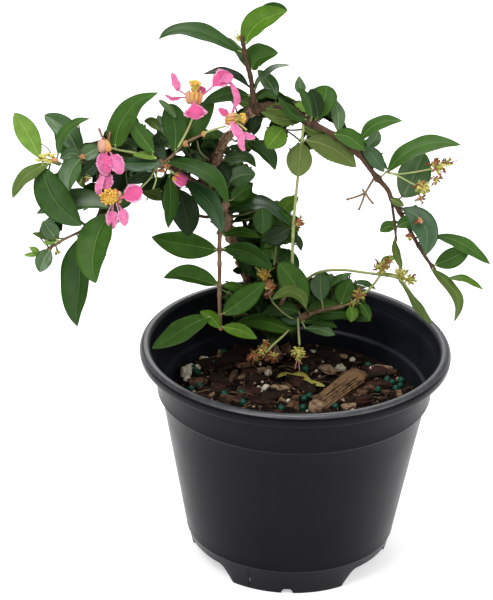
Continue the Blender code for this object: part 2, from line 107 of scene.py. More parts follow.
def project(points):
    """Frame x, frame y and distance ahead of the eye, for an array of points."""
    d = np.asarray(points, float) - EYE
    z = d @ AHEAD
    return np.stack([WIDE / 2 + FOCAL * (d @ RIGHT) / z, HIGH / 2 - FOCAL * (d @ UP) / z, z], -1)


def place(x, y, depth):
    """The point seen at frame place (x, y), so far ahead of the eye."""
    x, y, depth = np.broadcast_arrays(np.asarray(x, float), np.asarray(y, float), np.asarray(depth, float))
    way = AHEAD + RIGHT * ((x - WIDE / 2) / FOCAL)[..., None] + UP * ((HIGH / 2 - y) / FOCAL)[..., None]
    return EYE + way * depth[..., None]


def on_level(x, y, z):
    """The point seen at (x, y) on the level z."""
    way = AHEAD + RIGHT * (x - WIDE / 2) / FOCAL + UP * (HIGH / 2 - y) / FOCAL
    return EYE + way * (z - EYE[2]) / way[2]


# ------------------------------------------------------------ small helpers
def unit(v):
    v = np.asarray(v, float)
    return v / np.maximum(np.linalg.norm(v, axis=-1, keepdims=True), 1e-12)


def spline(nodes, count):
    """A Catmull-Rom curve through the nodes, evenly spaced by length."""
    p = np.asarray(nodes, float)
    if len(p) == 2:
        t = np.linspace(0, 1, count)[:, None]
        return p[0] * (1 - t) + p[1] * t
    ends = np.vstack([2 * p[0] - p[1], p, 2 * p[-1] - p[-2]])
    fine = []
    for a, b, c, d in zip(ends, ends[1:], ends[2:], ends[3:]):
        t = np.linspace(0, 1, 25)[:-1, None]
        fine.append(0.5 * (2 * b + (c - a) * t + (2 * a - 5 * b + 4 * c - d) * t * t
                           + (3 * b - a - 3 * c + d) * t ** 3))
    fine = np.vstack(fine + [p[-1:]])
    run = np.concatenate([[0], np.cumsum(np.linalg.norm(np.diff(fine, axis=0), axis=1))])
    s = np.linspace(0, run[-1], count)
    return np.stack([np.interp(s, run, fine[:, k]) for k in range(p.shape[1])], -1)


def fbm(x, y, z, octaves=3):
    return noise.fractal(Vector((x, y, z)), 1.0, 2.0, octaves)


class Heap:
    """Vertices and faces of many small things that become one joined mesh."""

    def __init__(self):
        self.verts, self.faces, self.mats, self.count = [], [], [], 0

    def add(self, verts, faces, mats):
        faces = np.asarray(faces, np.int64)
        if faces.shape[1] == 3:
            faces = np.hstack([faces, np.full((len(faces), 1), -1)])
        self.verts.append(np.asarray(verts, float))
        self.faces.append(np.where(faces >= 0, faces + self.count, -1))
        self.mats.append(np.broadcast_to(np.asarray(mats, np.int64), (len(faces),)))
        self.count += len(verts)

    def triangles(self):
        return sum(int((f[:, 3] >= 0).sum()) + len(f) for f in self.faces)

    def build(self, name, materials, smooth=True):
        verts = np.vstack(self.verts)
        faces = np.vstack(self.faces)
        mats = np.concatenate(self.mats)
        sizes = np.where(faces[:, 3] >= 0, 4, 3)
        loops = faces.reshape(-1)
        loops = loops[loops >= 0]
        mesh = bpy.data.meshes.new(name)
        mesh.vertices.add(len(verts))
        mesh.vertices.foreach_set("co", verts.astype(np.float32).reshape(-1))
        mesh.loops.add(len(loops))
        mesh.loops.foreach_set("vertex_index", loops.astype(np.int32))
        mesh.polygons.add(len(faces))
        starts = np.concatenate([[0], np.cumsum(sizes)[:-1]])
        mesh.polygons.foreach_set("loop_start", starts.astype(np.int32))
        mesh.polygons.foreach_set("loop_total", sizes.astype(np.int32))
        mesh.polygons.foreach_set("material_index", mats.astype(np.int32))
        mesh.update(calc_edges=True)
        mesh.validate()
        for material in materials:
            mesh.materials.append(material)
        obj = bpy.data.objects.new(name, mesh)
        bpy.context.scene.collection.objects.link(obj)
        if smooth:
            mesh.shade_smooth()
        return obj

    def pieces(self, name, materials, limit=180000):
        """The same things as one or more meshes, each of fewer triangles than the limit."""
        starts = np.concatenate([[0], np.cumsum([len(v) for v in self.verts])[:-1]])
        batches, size = [Heap()], 0
        for verts, faces, mats, start in zip(self.verts, self.faces, self.mats, starts):
            count = int((faces[:, 3] >= 0).sum()) + len(faces)
            if batches[-1].count and size + count > limit:
                batches.append(Heap())
                size = 0
            batches[-1].add(verts, np.where(faces >= 0, faces - start, -1), mats)
            size += count
        if len(batches) == 1:
            return [batches[0].build(name, materials)]
        return [batch.build("%s_%d" % (name, k + 1), materials) for k, batch in enumerate(batches)]


def grid_faces(rows, cols, wrap=False, start=0):
    """Quads of a grid of rows x cols vertices, optionally closed across its columns."""
    r, c = np.meshgrid(np.arange(rows - 1), np.arange(cols if wrap else cols - 1), indexing="ij")
    r, c = r.reshape(-1), c.reshape(-1)
    n = (c + 1) % cols
    return np.stack([r * cols + c, r * cols + n, (r + 1) * cols + n, (r + 1) * cols + c], -1) + start


def frames_along(points):
    """Tangents and two steady cross directions along a route."""
    p = np.asarray(points, float)
    t = unit(np.gradient(p, axis=0))
    side = np.cross(t[0], [0.0, 0.0, 1.0])
    if np.linalg.norm(side) < 1e-3:
        side = np.cross(t[0], [0.0, 1.0, 0.0])
    side = unit(side)
    a = [side]
    for k in range(1, len(p)):
        s = a[-1] - t[k] * (a[-1] @ t[k])
        a.append(unit(s))
    a = np.array(a)
    return t, a, np.cross(t, a)


def tube(heap, points, radii, sides=8, mat=0, relief=None, caps=True):
    """A closed tube along the points. relief(s, angle) scales the radius."""
    p = np.asarray(points, float)
    t, a, b = frames_along(p)
    ang = np.linspace(0, 2 * math.pi, sides, endpoint=False)
    r = np.broadcast_to(np.asarray(radii, float), (len(p),))[:, None] * np.ones(sides)[None, :]
    if relief is not None:
        r = r * relief
    rings = p[:, None, :] + r[..., None] * (np.cos(ang)[None, :, None] * a[:, None, :]
                                            + np.sin(ang)[None, :, None] * b[:, None, :])
    verts = rings.reshape(-1, 3)
    faces = grid_faces(len(p), sides, wrap=True)
    if caps:
        n = len(verts)
        r0, r1 = float(r[0].mean()), float(r[-1].mean())
        verts = np.vstack([verts, p[0] - t[0] * r0 * 0.45, p[-1] + t[-1] * r1 * 0.6])
        k = np.arange(sides)
        m = (k + 1) % sides
        low = np.stack([np.full(sides, n), m, k], -1)
        last = (len(p) - 1) * sides
        high = np.stack([np.full(sides, n + 1), last + k, last + m], -1)
        tri = np.vstack([low, high])
        faces = np.vstack([faces, np.hstack([tri, np.full((len(tri), 1), -1)])])
    heap.add(verts, faces, mat)


_balls = {}


def ball(level):
    if level not in _balls:
        bm = bmesh.new()
        bmesh.ops.create_icosphere(bm, subdivisions=level, radius=1.0)
        v = np.array([list(x.co) for x in bm.verts])
        f = np.array([[x.index for x in face.verts] for face in bm.faces])
        bm.free()
        _balls[level] = (v, f)
    return _balls[level]


def lump(heap, centre, size, axis=(0, 0, 1), mat=0, level=2, rough=0.0, seed=0.0, scale=1.5):
    """A rounded body of three half-sizes, its long side along the axis, with an uneven surface."""
    v, f = ball(level)
    z = unit(axis)
    x = np.cross(z, [0.0, 0.0, 1.0])
    x = unit(x) if np.linalg.norm(x) > 1e-3 else np.array([1.0, 0.0, 0.0])
    y = np.cross(z, x)
    sx, sy, sz = size
    k = np.ones(len(v))
    if rough:
        k = np.array([1.0 + rough * noise.noise(Vector(q * scale) + Vector((seed, seed * 1.7, 3.1))) * 2 for q in v])
    w = v * k[:, None]
    heap.add(np.asarray(centre) + w[:, :1] * sx * x + w[:, 1:2] * sy * y + w[:, 2:] * sz * z, f, mat)


# ---------------------------------------------------------------- materials
def srgb(r, g, b):
    return tuple((c / 255 / 12.92) if c / 255 <= 0.04045 else ((c / 255 + 0.055) / 1.055) ** 2.4 for c in (r, g, b))


def material(name, colour, rough=0.5, spread=0.12, grain=900.0, bump=0.15, bump_scale=1500.0, bump_depth=0.05,
             specular=0.5, second=None, second_scale=260.0, second_low=0.45, second_high=0.6,
             rough_spread=0.08, coat=0.0, sheen=0.0, subsurface=0.0, stretch=None, metallic=0.0):
    """A finish with its colour varied by noise, and roughness and fine relief from nodes."""
    m = bpy.data.materials.new(name)
    m.use_nodes = True
    nodes, links = m.node_tree.nodes, m.node_tree.links
    shader = nodes["Principled BSDF"]
    shader.inputs["Metallic"].default_value = metallic
    shader.inputs["Specular IOR Level"].default_value = specular
    shader.inputs["Coat Weight"].default_value = coat
    shader.inputs["Coat Roughness"].default_value = 0.25
    shader.inputs["Sheen Weight"].default_value = sheen
    if subsurface:
        shader.inputs["Subsurface Weight"].default_value = subsurface
        shader.inputs["Subsurface Radius"].default_value = (0.4, 1.0, 0.2)
        shader.inputs["Subsurface Scale"].default_value = 0.0008
    where = nodes.new("ShaderNodeTexCoord")
    source = where.outputs["Object"]
    if stretch:
        mapping = nodes.new("ShaderNodeMapping")
        mapping.inputs["Scale"].default_value = stretch
        links.new(source, mapping.inputs["Vector"])
        source = mapping.outputs["Vector"]
    first = nodes.new("ShaderNodeTexNoise")
    first.inputs["Scale"].default_value = grain
    first.inputs["Detail"].default_value = 4.0
    links.new(source, first.inputs["Vector"])
    ramp = nodes.new("ShaderNodeValToRGB")
    ramp.color_ramp.elements[0].position = 0.3
    ramp.color_ramp.elements[1].position = 0.7
    ramp.color_ramp.elements[0].color = (*[c * (1 - spread) for c in colour], 1)
    ramp.color_ramp.elements[1].color = (*[min(1.0, c * (1 + spread)) for c in colour], 1)
    links.new(first.outputs["Fac"], ramp.inputs["Fac"])
    colour_out = ramp.outputs["Color"]
    if second:
        other = nodes.new("ShaderNodeTexNoise")
        other.inputs["Scale"].default_value = second_scale
        other.inputs["Detail"].default_value = 3.0
        links.new(source, other.inputs["Vector"])
        mask = nodes.new("ShaderNodeMapRange")
        mask.inputs["From Min"].default_value = second_low
        mask.inputs["From Max"].default_value = second_high
        links.new(other.outputs["Fac"], mask.inputs["Value"])
        mix = nodes.new("ShaderNodeMix")
        mix.data_type = "RGBA"
        links.new(mask.outputs["Result"], mix.inputs["Factor"])
        links.new(colour_out, mix.inputs["A"])
        mix.inputs["B"].default_value = (*second, 1)
        colour_out = mix.outputs["Result"]
    links.new(colour_out, shader.inputs["Base Color"])
    gloss = nodes.new("ShaderNodeMapRange")
    gloss.inputs["To Min"].default_value = max(0.05, rough - rough_spread)
    gloss.inputs["To Max"].default_value = min(1.0, rough + rough_spread)
    links.new(first.outputs["Fac"], gloss.inputs["Value"])
    links.new(gloss.outputs["Result"], shader.inputs["Roughness"])
    if bump:
        fine = nodes.new("ShaderNodeTexNoise")
        fine.inputs["Scale"].default_value = bump_scale
        fine.inputs["Detail"].default_value = 3.0
        links.new(source, fine.inputs["Vector"])
        relief = nodes.new("ShaderNodeBump")
        relief.inputs["Strength"].default_value = bump
        relief.inputs["Distance"].default_value = bump_depth * MM * 4
        links.new(fine.outputs["Fac"], relief.inputs["Height"])
        links.new(relief.outputs["Normal"], shader.inputs["Normal"])
    m.diffuse_color = (*colour, 1)
    return m


# Leaf tones: face, underside and midrib colours (sRGB) and gloss of the face.
TONES = {
    "deep": ((42, 70, 24), (74, 96, 46), (80, 110, 52), 0.48),
    "dark": ((27, 46, 19), (50, 70, 36), (55, 78, 38), 0.46),
    "mid": ((53, 85, 26), (83, 106, 48), (98, 129, 60), 0.50),
    # bright: partly the yellow-green of young leaves, partly painted light shining through the leaf
    "bright": ((74, 108, 24), (100, 128, 50), (122, 152, 66), 0.50),
    # lime: partly the yellow-green of young leaves, partly painted light shining through the leaf
    "lime": ((106, 138, 56), (124, 150, 72), (146, 172, 90), 0.54),
    # sheen: the grey-blue cast of the face colour paints part of the gloss reflection; the rest comes from its higher
    # specular
    "sheen": ((63, 91, 49), (97, 120, 78), (122, 147, 96), 0.40),
    "blue": ((45, 74, 40), (76, 101, 61), (88, 119, 68), 0.42),
    "olive": ((78, 97, 41), (84, 99, 45), (126, 135, 81), 0.62),
}
TONE_NAMES = list(TONES)
LEAF_MATERIALS = []
for tone_name, (face_colour, under_colour, rib_colour, gloss) in TONES.items():
    waxy = tone_name in ("sheen", "blue")
    LEAF_MATERIALS.append(material("leaf_" + tone_name, srgb(*face_colour), rough=gloss, spread=0.16, grain=210.0,
                                   bump=0.30, bump_scale=1700.0, bump_depth=0.02, specular=0.42 if waxy else 0.15,
                                   coat=0.05 if waxy else 0.0, subsurface=0.10))
    LEAF_MATERIALS.append(material("leaf_under_" + tone_name, srgb(*under_colour), rough=0.62, spread=0.10,
                                   grain=300.0, bump=0.25, bump_scale=1500.0, bump_depth=0.02, specular=0.2,
                                   subsurface=0.10))
    LEAF_MATERIALS.append(material("leaf_rib_" + tone_name, srgb(*rib_colour), rough=0.5, spread=0.08,
                                   grain=500.0, bump=0.15, bump_scale=2500.0, bump_depth=0.01, specular=0.2))

BARK = material("bark_scaly", srgb(140, 110, 90), rough=0.86, spread=0.30, grain=700.0, bump=0.7, bump_scale=1700.0,
                bump_depth=0.08, specular=0.25, second=srgb(74, 54, 44), second_scale=330.0, second_low=0.50,
                second_high=0.66, stretch=(1, 1, 0.45))
BARK_RED = material("bark_young", srgb(80, 59, 45), rough=0.76, spread=0.26, grain=1100.0, bump=0.5,
                    bump_scale=2300.0, bump_depth=0.05, specular=0.2, second=srgb(56, 41, 32), second_scale=330.0,
                    second_low=0.5, second_high=0.66)
FLAKE = material("bark_flake", srgb(184, 150, 122), rough=0.9, spread=0.22, grain=1300.0, bump=0.5,
                 bump_scale=2600.0, specular=0.2)
LENTICEL = material("lenticel", srgb(122, 96, 72), rough=0.85, spread=0.15, grain=1400.0, bump=0.3)
STEM_GREEN = material("stem_green", srgb(148, 160, 96), rough=0.55, spread=0.14, grain=420.0, bump=0.3,
                      bump_scale=1800.0, second=srgb(160, 142, 100), second_scale=160.0, second_low=0.5,
                      second_high=0.68)
STEM_TAN = material("stem_tan", srgb(122, 98, 72), rough=0.70, spread=0.18, grain=600.0, bump=0.35,
                    bump_scale=1900.0, second=srgb(104, 76, 56), second_scale=300.0)
# a half-bright copy of the green stem: partly a dull stem colour, partly painted shade for stems behind the front
# leaves
STEM_DULL_AND_SHADED = material("stem_dull_green_painted_shade", srgb(74, 88, 46), rough=0.66, spread=0.18, grain=500.0, bump=0.3,
                    bump_scale=1900.0, specular=0.2, second=srgb(78, 66, 44), second_scale=240.0)
NODE_ORANGE = material("node_orange", srgb(172, 122, 78), rough=0.7, spread=0.16, grain=900.0, bump=0.4,
                       bump_scale=2200.0)
WOODS = [BARK, BARK_RED, FLAKE, LENTICEL, STEM_GREEN, STEM_TAN, NODE_ORANGE, STEM_DULL_AND_SHADED]
W_BARK, W_RED, W_FLAKE, W_LENT, W_GREEN, W_TAN, W_NODE, W_DULL_AND_SHADED = range(8)

PETAL_DEEP = material("petal_deep", srgb(206, 84, 136), rough=0.74, spread=0.10, grain=600.0, bump=0.3,
                      bump_scale=1700.0, bump_depth=0.05, specular=0.12, sheen=0.10, subsurface=0.10,
                      second=srgb(192, 88, 136), second_scale=420.0, second_low=0.48, second_high=0.7)
PETAL = material("petal", srgb(210, 116, 160), rough=0.76, spread=0.09, grain=600.0, bump=0.3,
                 bump_scale=1700.0, bump_depth=0.05, specular=0.12, sheen=0.10, subsurface=0.10,
                      second=srgb(192, 88, 136), second_scale=420.0, second_low=0.48, second_high=0.7)
PETAL_PALE = material("petal_edge", srgb(216, 156, 186), rough=0.78, spread=0.06, grain=700.0, bump=0.25,
                      bump_scale=1900.0, bump_depth=0.05, specular=0.12, sheen=0.10, subsurface=0.10)
ANTHER = material("anther", srgb(212, 168, 66), rough=0.7, spread=0.12, grain=1600.0, bump=0.4, bump_scale=3000.0)
GLAND = material("gland", srgb(198, 150, 78), rough=0.5, spread=0.14, grain=900.0, bump=0.2, bump_scale=1800.0,
                 second=srgb(196, 122, 76), second_scale=350.0)
SEPAL = material("sepal", srgb(188, 180, 92), rough=0.6, spread=0.14, grain=800.0, bump=0.3, bump_scale=1800.0)
SPENT_GREEN = material("spent_green", srgb(160, 160, 68), rough=0.7, spread=0.22, grain=900.0, bump=0.5,
                       bump_scale=1900.0, second=srgb(140, 122, 52), second_scale=500.0, second_low=0.5, second_high=0.68)
SPENT_BROWN = material("spent_brown", srgb(146, 92, 56), rough=0.85, spread=0.28, grain=1100.0, bump=0.6,
                       bump_scale=2000.0)
PEACH = material("receptacle", srgb(196, 146, 124), rough=0.6, spread=0.10, grain=700.0, bump=0.3,
                 bump_scale=1700.0)
STALK_RED = material("stalk_red", srgb(136, 84, 70), rough=0.65, spread=0.14, grain=900.0, bump=0.3,
                     bump_scale=1900.0)
# pale straw yellow of dry stamens, made paler still to light up a cluster lying in the leaves' shade: partly own
# colour, partly painted light
STRAW_PAINTED_LIGHT = material("straw_painted_light", srgb(236, 208, 112), rough=0.75, spread=0.14, grain=900.0, bump=0.4, bump_scale=1900.0,
                 second=srgb(206, 160, 74), second_scale=500.0, second_low=0.5, second_high=0.68)
BLOOMS = [PETAL_DEEP, PETAL, PETAL_PALE, ANTHER, GLAND, SEPAL, SPENT_GREEN, SPENT_BROWN, PEACH, STALK_RED,
          STEM_GREEN, STRAW_PAINTED_LIGHT]
(B_DEEP, B_PETAL, B_PALE, B_ANTHER, B_GLAND, B_SEPAL, B_SPENT, B_BROWN, B_PEACH, B_STALK, B_GREEN, B_STRAW_PAINTED_LIGHT) = range(12)

# -------------------------------------------------------------- the carriers
TRUNK_FOOT = (-9.6, 46.0, 84.35)
FORK = (-37.7, 22.0, 178.7)
TOP_FORK = (-24.8, 12.0, 235.3)
LEFT_NODE = (-66.8, -6.0, 213.5)
ARCH_BEND = (22.6, 0.0, 223.2)
ARCH_DROP = (43.8, -7.0, 199.6)
# node: radius at its foot and end (mm), bark kind, route (mm)
LIMBS = {
    "trunk": (2.35, 1.95, W_BARK, [TRUNK_FOOT, (-12.6, 44.6, 93.0), (-17.5, 42.0, 108.0), (-22.9, 38.0, 124.6),
                                   (-28.8, 33.0, 143.6), (-34.0, 28.0, 160.2), FORK]),
    "bough_upper": (1.9, 1.55, W_BARK, [FORK, (-40.9, 22.0, 190.5), (-42.5, 20.0, 203.2), (-38.7, 18.0, 214.9),
                                        (-32.0, 15.0, 224.3), TOP_FORK]),
    "leader": (1.3, 0.85, W_RED, [TOP_FORK, (-24.6, 12.0, 244.2), (-26.2, 11.0, 253.9), (-28.8, 10.0, 265.0),
                                   (-30.4, 8.0, 274.9)]),
    "arch_rising": (1.5, 1.3, W_RED, [TOP_FORK, (-15.7, 11.0, 238.1), (-6.4, 9.0, 237.2), (2.0, 7.0, 232.6),
                                      (13.7, 3.0, 228.4), ARCH_BEND]),
    "arch_falling": (1.3, 1.15, W_RED, [ARCH_BEND, (28.6, -2.0, 218.5), (35.1, -4.0, 210.7), (41.7, -6.0, 203.9),
                                        ARCH_DROP]),
    "arch_tip": (1.15, 0.75, W_RED, [ARCH_DROP, (50.5, -9.0, 189.6), (55.2, -10.0, 181.2), (61.0, -12.0, 172.2),
                                     (66.5, -13.2, 165.0)]),
    "arch_twig": (0.75, 0.6, W_RED, [(44.0, -7.2, 199.0), (45.6, -8.6, 190.0), (46.3, -9.0, 186.3),
                                     (47.1, -11.0, 178.7)]),
    "bough_left": (1.6, 1.2, W_RED, [FORK, (-43.4, 16.0, 188.6), (-50.0, 10.0, 196.0), (-56.6, 4.0, 203.0),
                                     (-62.4, -2.0, 209.9), LEFT_NODE]),
    "bough_left_outer": (1.1, 0.8, W_TAN, [(-66.8, -6.0, 213.5), (-71.5, -7.0, 213.4), (-80.0, -8.5, 212.2),
                                           (-89.6, -10.0, 211.2), (-99.1, -12.0, 214.0), (-112.0, -12.5, 215.9)]),
    "twig_left_low": (0.8, 0.55, W_TAN, [(-98.1, -12.4, 213.4), (-96.9, -16.2, 202.8), (-95.7, -18.4, 194.9),
                                         (-99.1, -25.2, 189.4), (-104.6, -28.4, 186.4), (-111.6, -31.5, 183.7),
                                         (-116.8, -31.8, 180.2), (-120.4, -31.6, 177.6)]),
    "hanging_twig": (1.1, 0.85, W_TAN, [(-36.6, 23.6, 173.0), (-37.8, 20.5, 173.5), (-39.2, 14.5, 166.5),
                                        (-38.9, 11.0, 149.3), (-38.5, 9.0, 133.7), (-37.7, 6.0, 119.6)]),
    "low_branch": (1.2, 0.75, W_TAN, [(-12.6, 44.6, 93.0), (-6.0, 33.0, 107.5), (0.9, 20.0, 119.1),
                                      (11.3, 22.0, 123.0), (21.8, 24.0, 124.7), (28.8, 24.0, 128.3)]),
    "basal_stem": (1.1, 0.9, W_BARK, [(-17.5, 42.0, 108.0), (-13.0, 33.0, 115.0), (-8.0, 22.0, 127.0),
                                      (-4.5, 15.0, 140.0), (-2.9, 12.0, 150.2)]),
    "upright_stem": (0.75, 0.65, W_GREEN, [(-2.9, 12.0, 150.0), (-2.9, 10.0, 175.7), (-1.5, 8.0, 203.0),
                                           (-0.1, 7.0, 222.0), (0.3, 6.6, 232.5)]),
    "arc_stem": (0.75, 0.65, W_GREEN, [(-8.2, 25.0, 124.0), (-4.6, 33.0, 123.0), (3.8, 28.0, 136.6),
                                       (11.1, 26.0, 142.9), (22.1, 24.0, 145.4), (35.0, 20.0, 146.1),
                                       (48.0, 14.5, 147.2)]),
    "arc_stem_end": (0.7, 0.55, W_GREEN, [(48.0, 14.5, 147.2), (51.5, 12.5, 146.3), (57.0, 11.0, 139.5),
                                          (62.5, 10.0, 132.0)]),
    "bough_back": (1.25, 0.9, W_BARK, [(-28.8, 33.0, 143.6), (-27.0, 42.0, 156.0), (-30.0, 45.0, 170.0)]),
    "twig_back_low": (0.9, 0.7, W_BARK, [(-19.5, 40.5, 113.0), (-17.0, 46.5, 119.0), (-14.5, 51.0, 127.0)]),
    "twig_back_right": (0.8, 0.6, W_BARK, [(-6.4, 9.0, 237.2), (0.0, 17.0, 234.0), (8.0, 27.0, 227.0)]),
    "twig_back_left": (0.8, 0.6, W_BARK, [(-60.6, -2.0, 211.1), (-67.0, 10.0, 208.0), (-75.0, 24.0, 202.0)]),
}
CARRIERS = {}          # name: (points, radii)
for limb, (foot, end, kind, route) in LIMBS.items():
    pts = spline(np.array(route) * MM, max(12, int(len(route) * 12)))
    CARRIERS[limb] = (pts, np.linspace(foot, end, len(pts)) * MM)
SWELLINGS = {limb: [] for limb in LIMBS}    # places along each limb where a leaf or twig leaves it


def nearest_on(x, y, names=None):
    """The carrier point that shows nearest to (x, y): (limb, index, point, radius)."""
    best = None
    for limb_name in (names or CARRIERS):
        pts, radii = CARRIERS[limb_name]
        seen = project(pts)
        d = np.hypot(seen[:, 0] - x, seen[:, 1] - y)
        k = int(d.argmin())
        if best is None or d[k] < best[0]:
            best = (d[k], limb_name, k, pts[k], radii[k])
    return best[1:]


# ------------------------------------------------------------- leaf building
def outline(t, early=0.92, full=0.78):
    """Half width along a leaf, as a share of its widest."""
    return np.sin(np.pi * np.clip(t, 0, 1) ** early) ** full


def blade(heap, spine, side, front, half, lean_l, lean_r, up, mats, cells=6, curl=0.45, veins=6.0,
          vein_depth=0.07, wave=0.05, phase=0.0, rib=(0.36, 0.10), thick=0.24, serrate=0.0, edge_mat=None,
          waves=2.3):
    """One closed leaf or petal blade.

    spine: points along the midrib.  side, front: unit vectors across it in the
    view and towards the viewer.  half: half width at each point.  lean_l and
    lean_r turn each half towards the viewer.  up is 1 if the upper face is
    towards the viewer, else -1.  mats: (upper, under, midrib).
    """
    n = len(spine)
    t = np.linspace(0, 1, n)
    rib_half = np.minimum((rib[0] + (rib[1] - rib[0]) * t) * MM * 0.5, half * 0.5)
    share = rib_half / np.maximum(half, 1e-9)
    j = np.linspace(0, 1, cells) ** 0.92
    v = np.concatenate([np.zeros((n, 1)), share[:, None] + (1 - share[:, None]) * j[None, :]], 1)
    halves = []
    for sign, lean in ((-1.0, lean_r), (1.0, lean_l)):
        lean = np.broadcast_to(lean, (n,))[:, None]
        across = np.cos(lean) * side * sign + np.sin(lean) * front
        rise = (-np.sin(lean) * side * sign + np.cos(lean) * front) * up
        k = max(curl, 1e-3)
        out = half[:, None] * np.sin(k * v) / k
        lift = half[:, None] * (1 - np.cos(k * v)) / k
        lift = lift - vein_depth * MM * (0.5 + 0.5 * np.cos(2 * np.pi * (veins * (t[:, None] - 0.17 * v) + 0.3))) ** 2 \
            * np.sin(np.pi * np.clip(v, 0, 1)) ** 0.7 * np.sin(np.pi * t[:, None]) ** 0.5
        lift = lift - 0.16 * MM * (1 - t[:, None]) * (v <= share[:, None] * 0.5) * min(1.0, rib[0] / 0.3)
        lift = lift + wave * half[:, None] * v ** 2 * np.sin(2 * np.pi * (waves * t[:, None] + phase + 0.21 * sign))
        if edge_mat is not None:
            lift = lift + wave * 0.7 * half[:, None] * v * np.sin(2 * np.pi * (2.3 * waves * t[:, None] + 1.7 * v + phase * 3 + 0.4 * sign))
        if serrate:
            out = out * (1 + serrate * (v > 0.95) * np.sin(2 * np.pi * 11 * t[:, None]))
        halves.append((spine[:, None, :] + out[..., None] * across[:, None, :]
                       + lift[..., None] * rise[:, None, :], v))
    top = np.concatenate([halves[0][0][:, :0:-1], halves[1][0]], 1)
    vv = np.concatenate([halves[0][1][:, :0:-1], halves[1][1]], 1)
    cols = top.shape[1]
    du = np.gradient(top, axis=0)
    dv = np.gradient(top, axis=1)
    normal = unit(np.cross(du, dv))
    facing = np.sign((normal * front[:, None, :]).sum(-1).mean()) or 1.0
    normal = normal * facing * up
    body = thick * MM * (1 - 0.65 * vv ** 2)
    middle = cols // 2
    body[:, middle] += (0.34 - 0.26 * t) * MM * min(1.0, rib[0] / 0.42)
    body = np.minimum(body, half[:, None] * 0.9)
    low = top - normal * body[..., None]
    verts = np.vstack([top.reshape(-1, 3), low.reshape(-1, 3)])
    faces_top = grid_faces(n, cols)
    col = np.tile(np.arange(cols - 1), n - 1)
    is_rib = (col == middle - 1) | (col == middle)
    if facing * up < 0:
        faces_top = faces_top[:, ::-1]
    faces_low = faces_top[:, ::-1] + n * cols
    size = n * cols
    r = np.arange(n - 1)
    edges = [np.stack([r * cols, (r + 1) * cols], -1), np.stack([(r + 1) * cols + cols - 1, r * cols + cols - 1], -1)]
    c = np.arange(cols - 1)
    edges += [np.stack([c + 1, c], -1), np.stack([(n - 1) * cols + c, (n - 1) * cols + c + 1], -1)]
    rim = np.vstack([np.stack([e[:, 0], e[:, 1], e[:, 1] + size, e[:, 0] + size], -1) for e in edges])
    if facing * up < 0:
        rim = rim[:, ::-1]
    m_top = np.where(is_rib, mats[2], mats[0])
    if edge_mat is not None:
        m_top = np.where((col <= 1) | (col >= cols - 3), edge_mat, m_top)
    m_low = np.where(is_rib, mats[2], mats[1])
    if edge_mat is not None:
        m_low = np.where((col <= 1) | (col >= cols - 3), edge_mat, m_low)
    heap.add(verts, np.vstack([faces_top, faces_low, rim[:, ::-1]]),
             np.concatenate([m_top, m_low, np.full(len(rim), mats[1])]))
    return top


HEAPS = {}


def heap_for(name):
    if name not in HEAPS:
        HEAPS[name] = Heap()
    return HEAPS[name]


DEPTH = np.full((HIGH + 40, WIDE + 40), np.inf)     # nearest leaf seen at each place of the frame
TAKEN = np.zeros_like(DEPTH, bool)


def mark(points, grow=0):
    """Records where a surface shows in the view and how far ahead it is."""
    seen = project(points.reshape(-1, 3))
    x = np.round(seen[:, 0]).astype(int) + 20
    y = np.round(seen[:, 1]).astype(int) + 20
    ok = (x >= 1) & (x < WIDE + 39) & (y >= 1) & (y < HIGH + 39)
    np.minimum.at(DEPTH, (y[ok], x[ok]), seen[ok, 2])
    TAKEN[y[ok], x[ok]] = True


def densify(top, k=4):
    """More points on a grid of points, for marking."""
    n, m = top.shape[:2]
    a = np.linspace(0, n - 1, n * k)
    b = np.linspace(0, m - 1, m * k)
    i, j = np.floor(a).astype(int).clip(0, n - 2), np.floor(b).astype(int).clip(0, m - 2)
    u, w = (a - i)[:, None, None], (b - j)[None, :, None]
    g = top
    return ((1 - u) * (1 - w) * g[i][:, j] + u * (1 - w) * g[i + 1][:, j]
            + (1 - u) * w * g[i][:, j + 1] + u * w * g[i + 1][:, j + 1])


def tone_mats(tone):
    k = TONE_NAMES.index(tone) * 3
    return (k, k + 1, k + 2)


TWIGS = Heap()      # petioles and fine twigs
PLACED = []         # (base point, limb, index) of what the limbs carry; nothing fills it


def petiole(start, end, r0, r1, mat, sag=0.0, sides=7, steps=6):
    start, end = np.asarray(start, float), np.asarray(end, float)
    mid = (start + end) / 2 + np.array([0, 0, sag])
    p = spline([start, mid, end], steps)
    tube(TWIGS, p, np.linspace(r0, r1, steps), sides, mat)
    return p


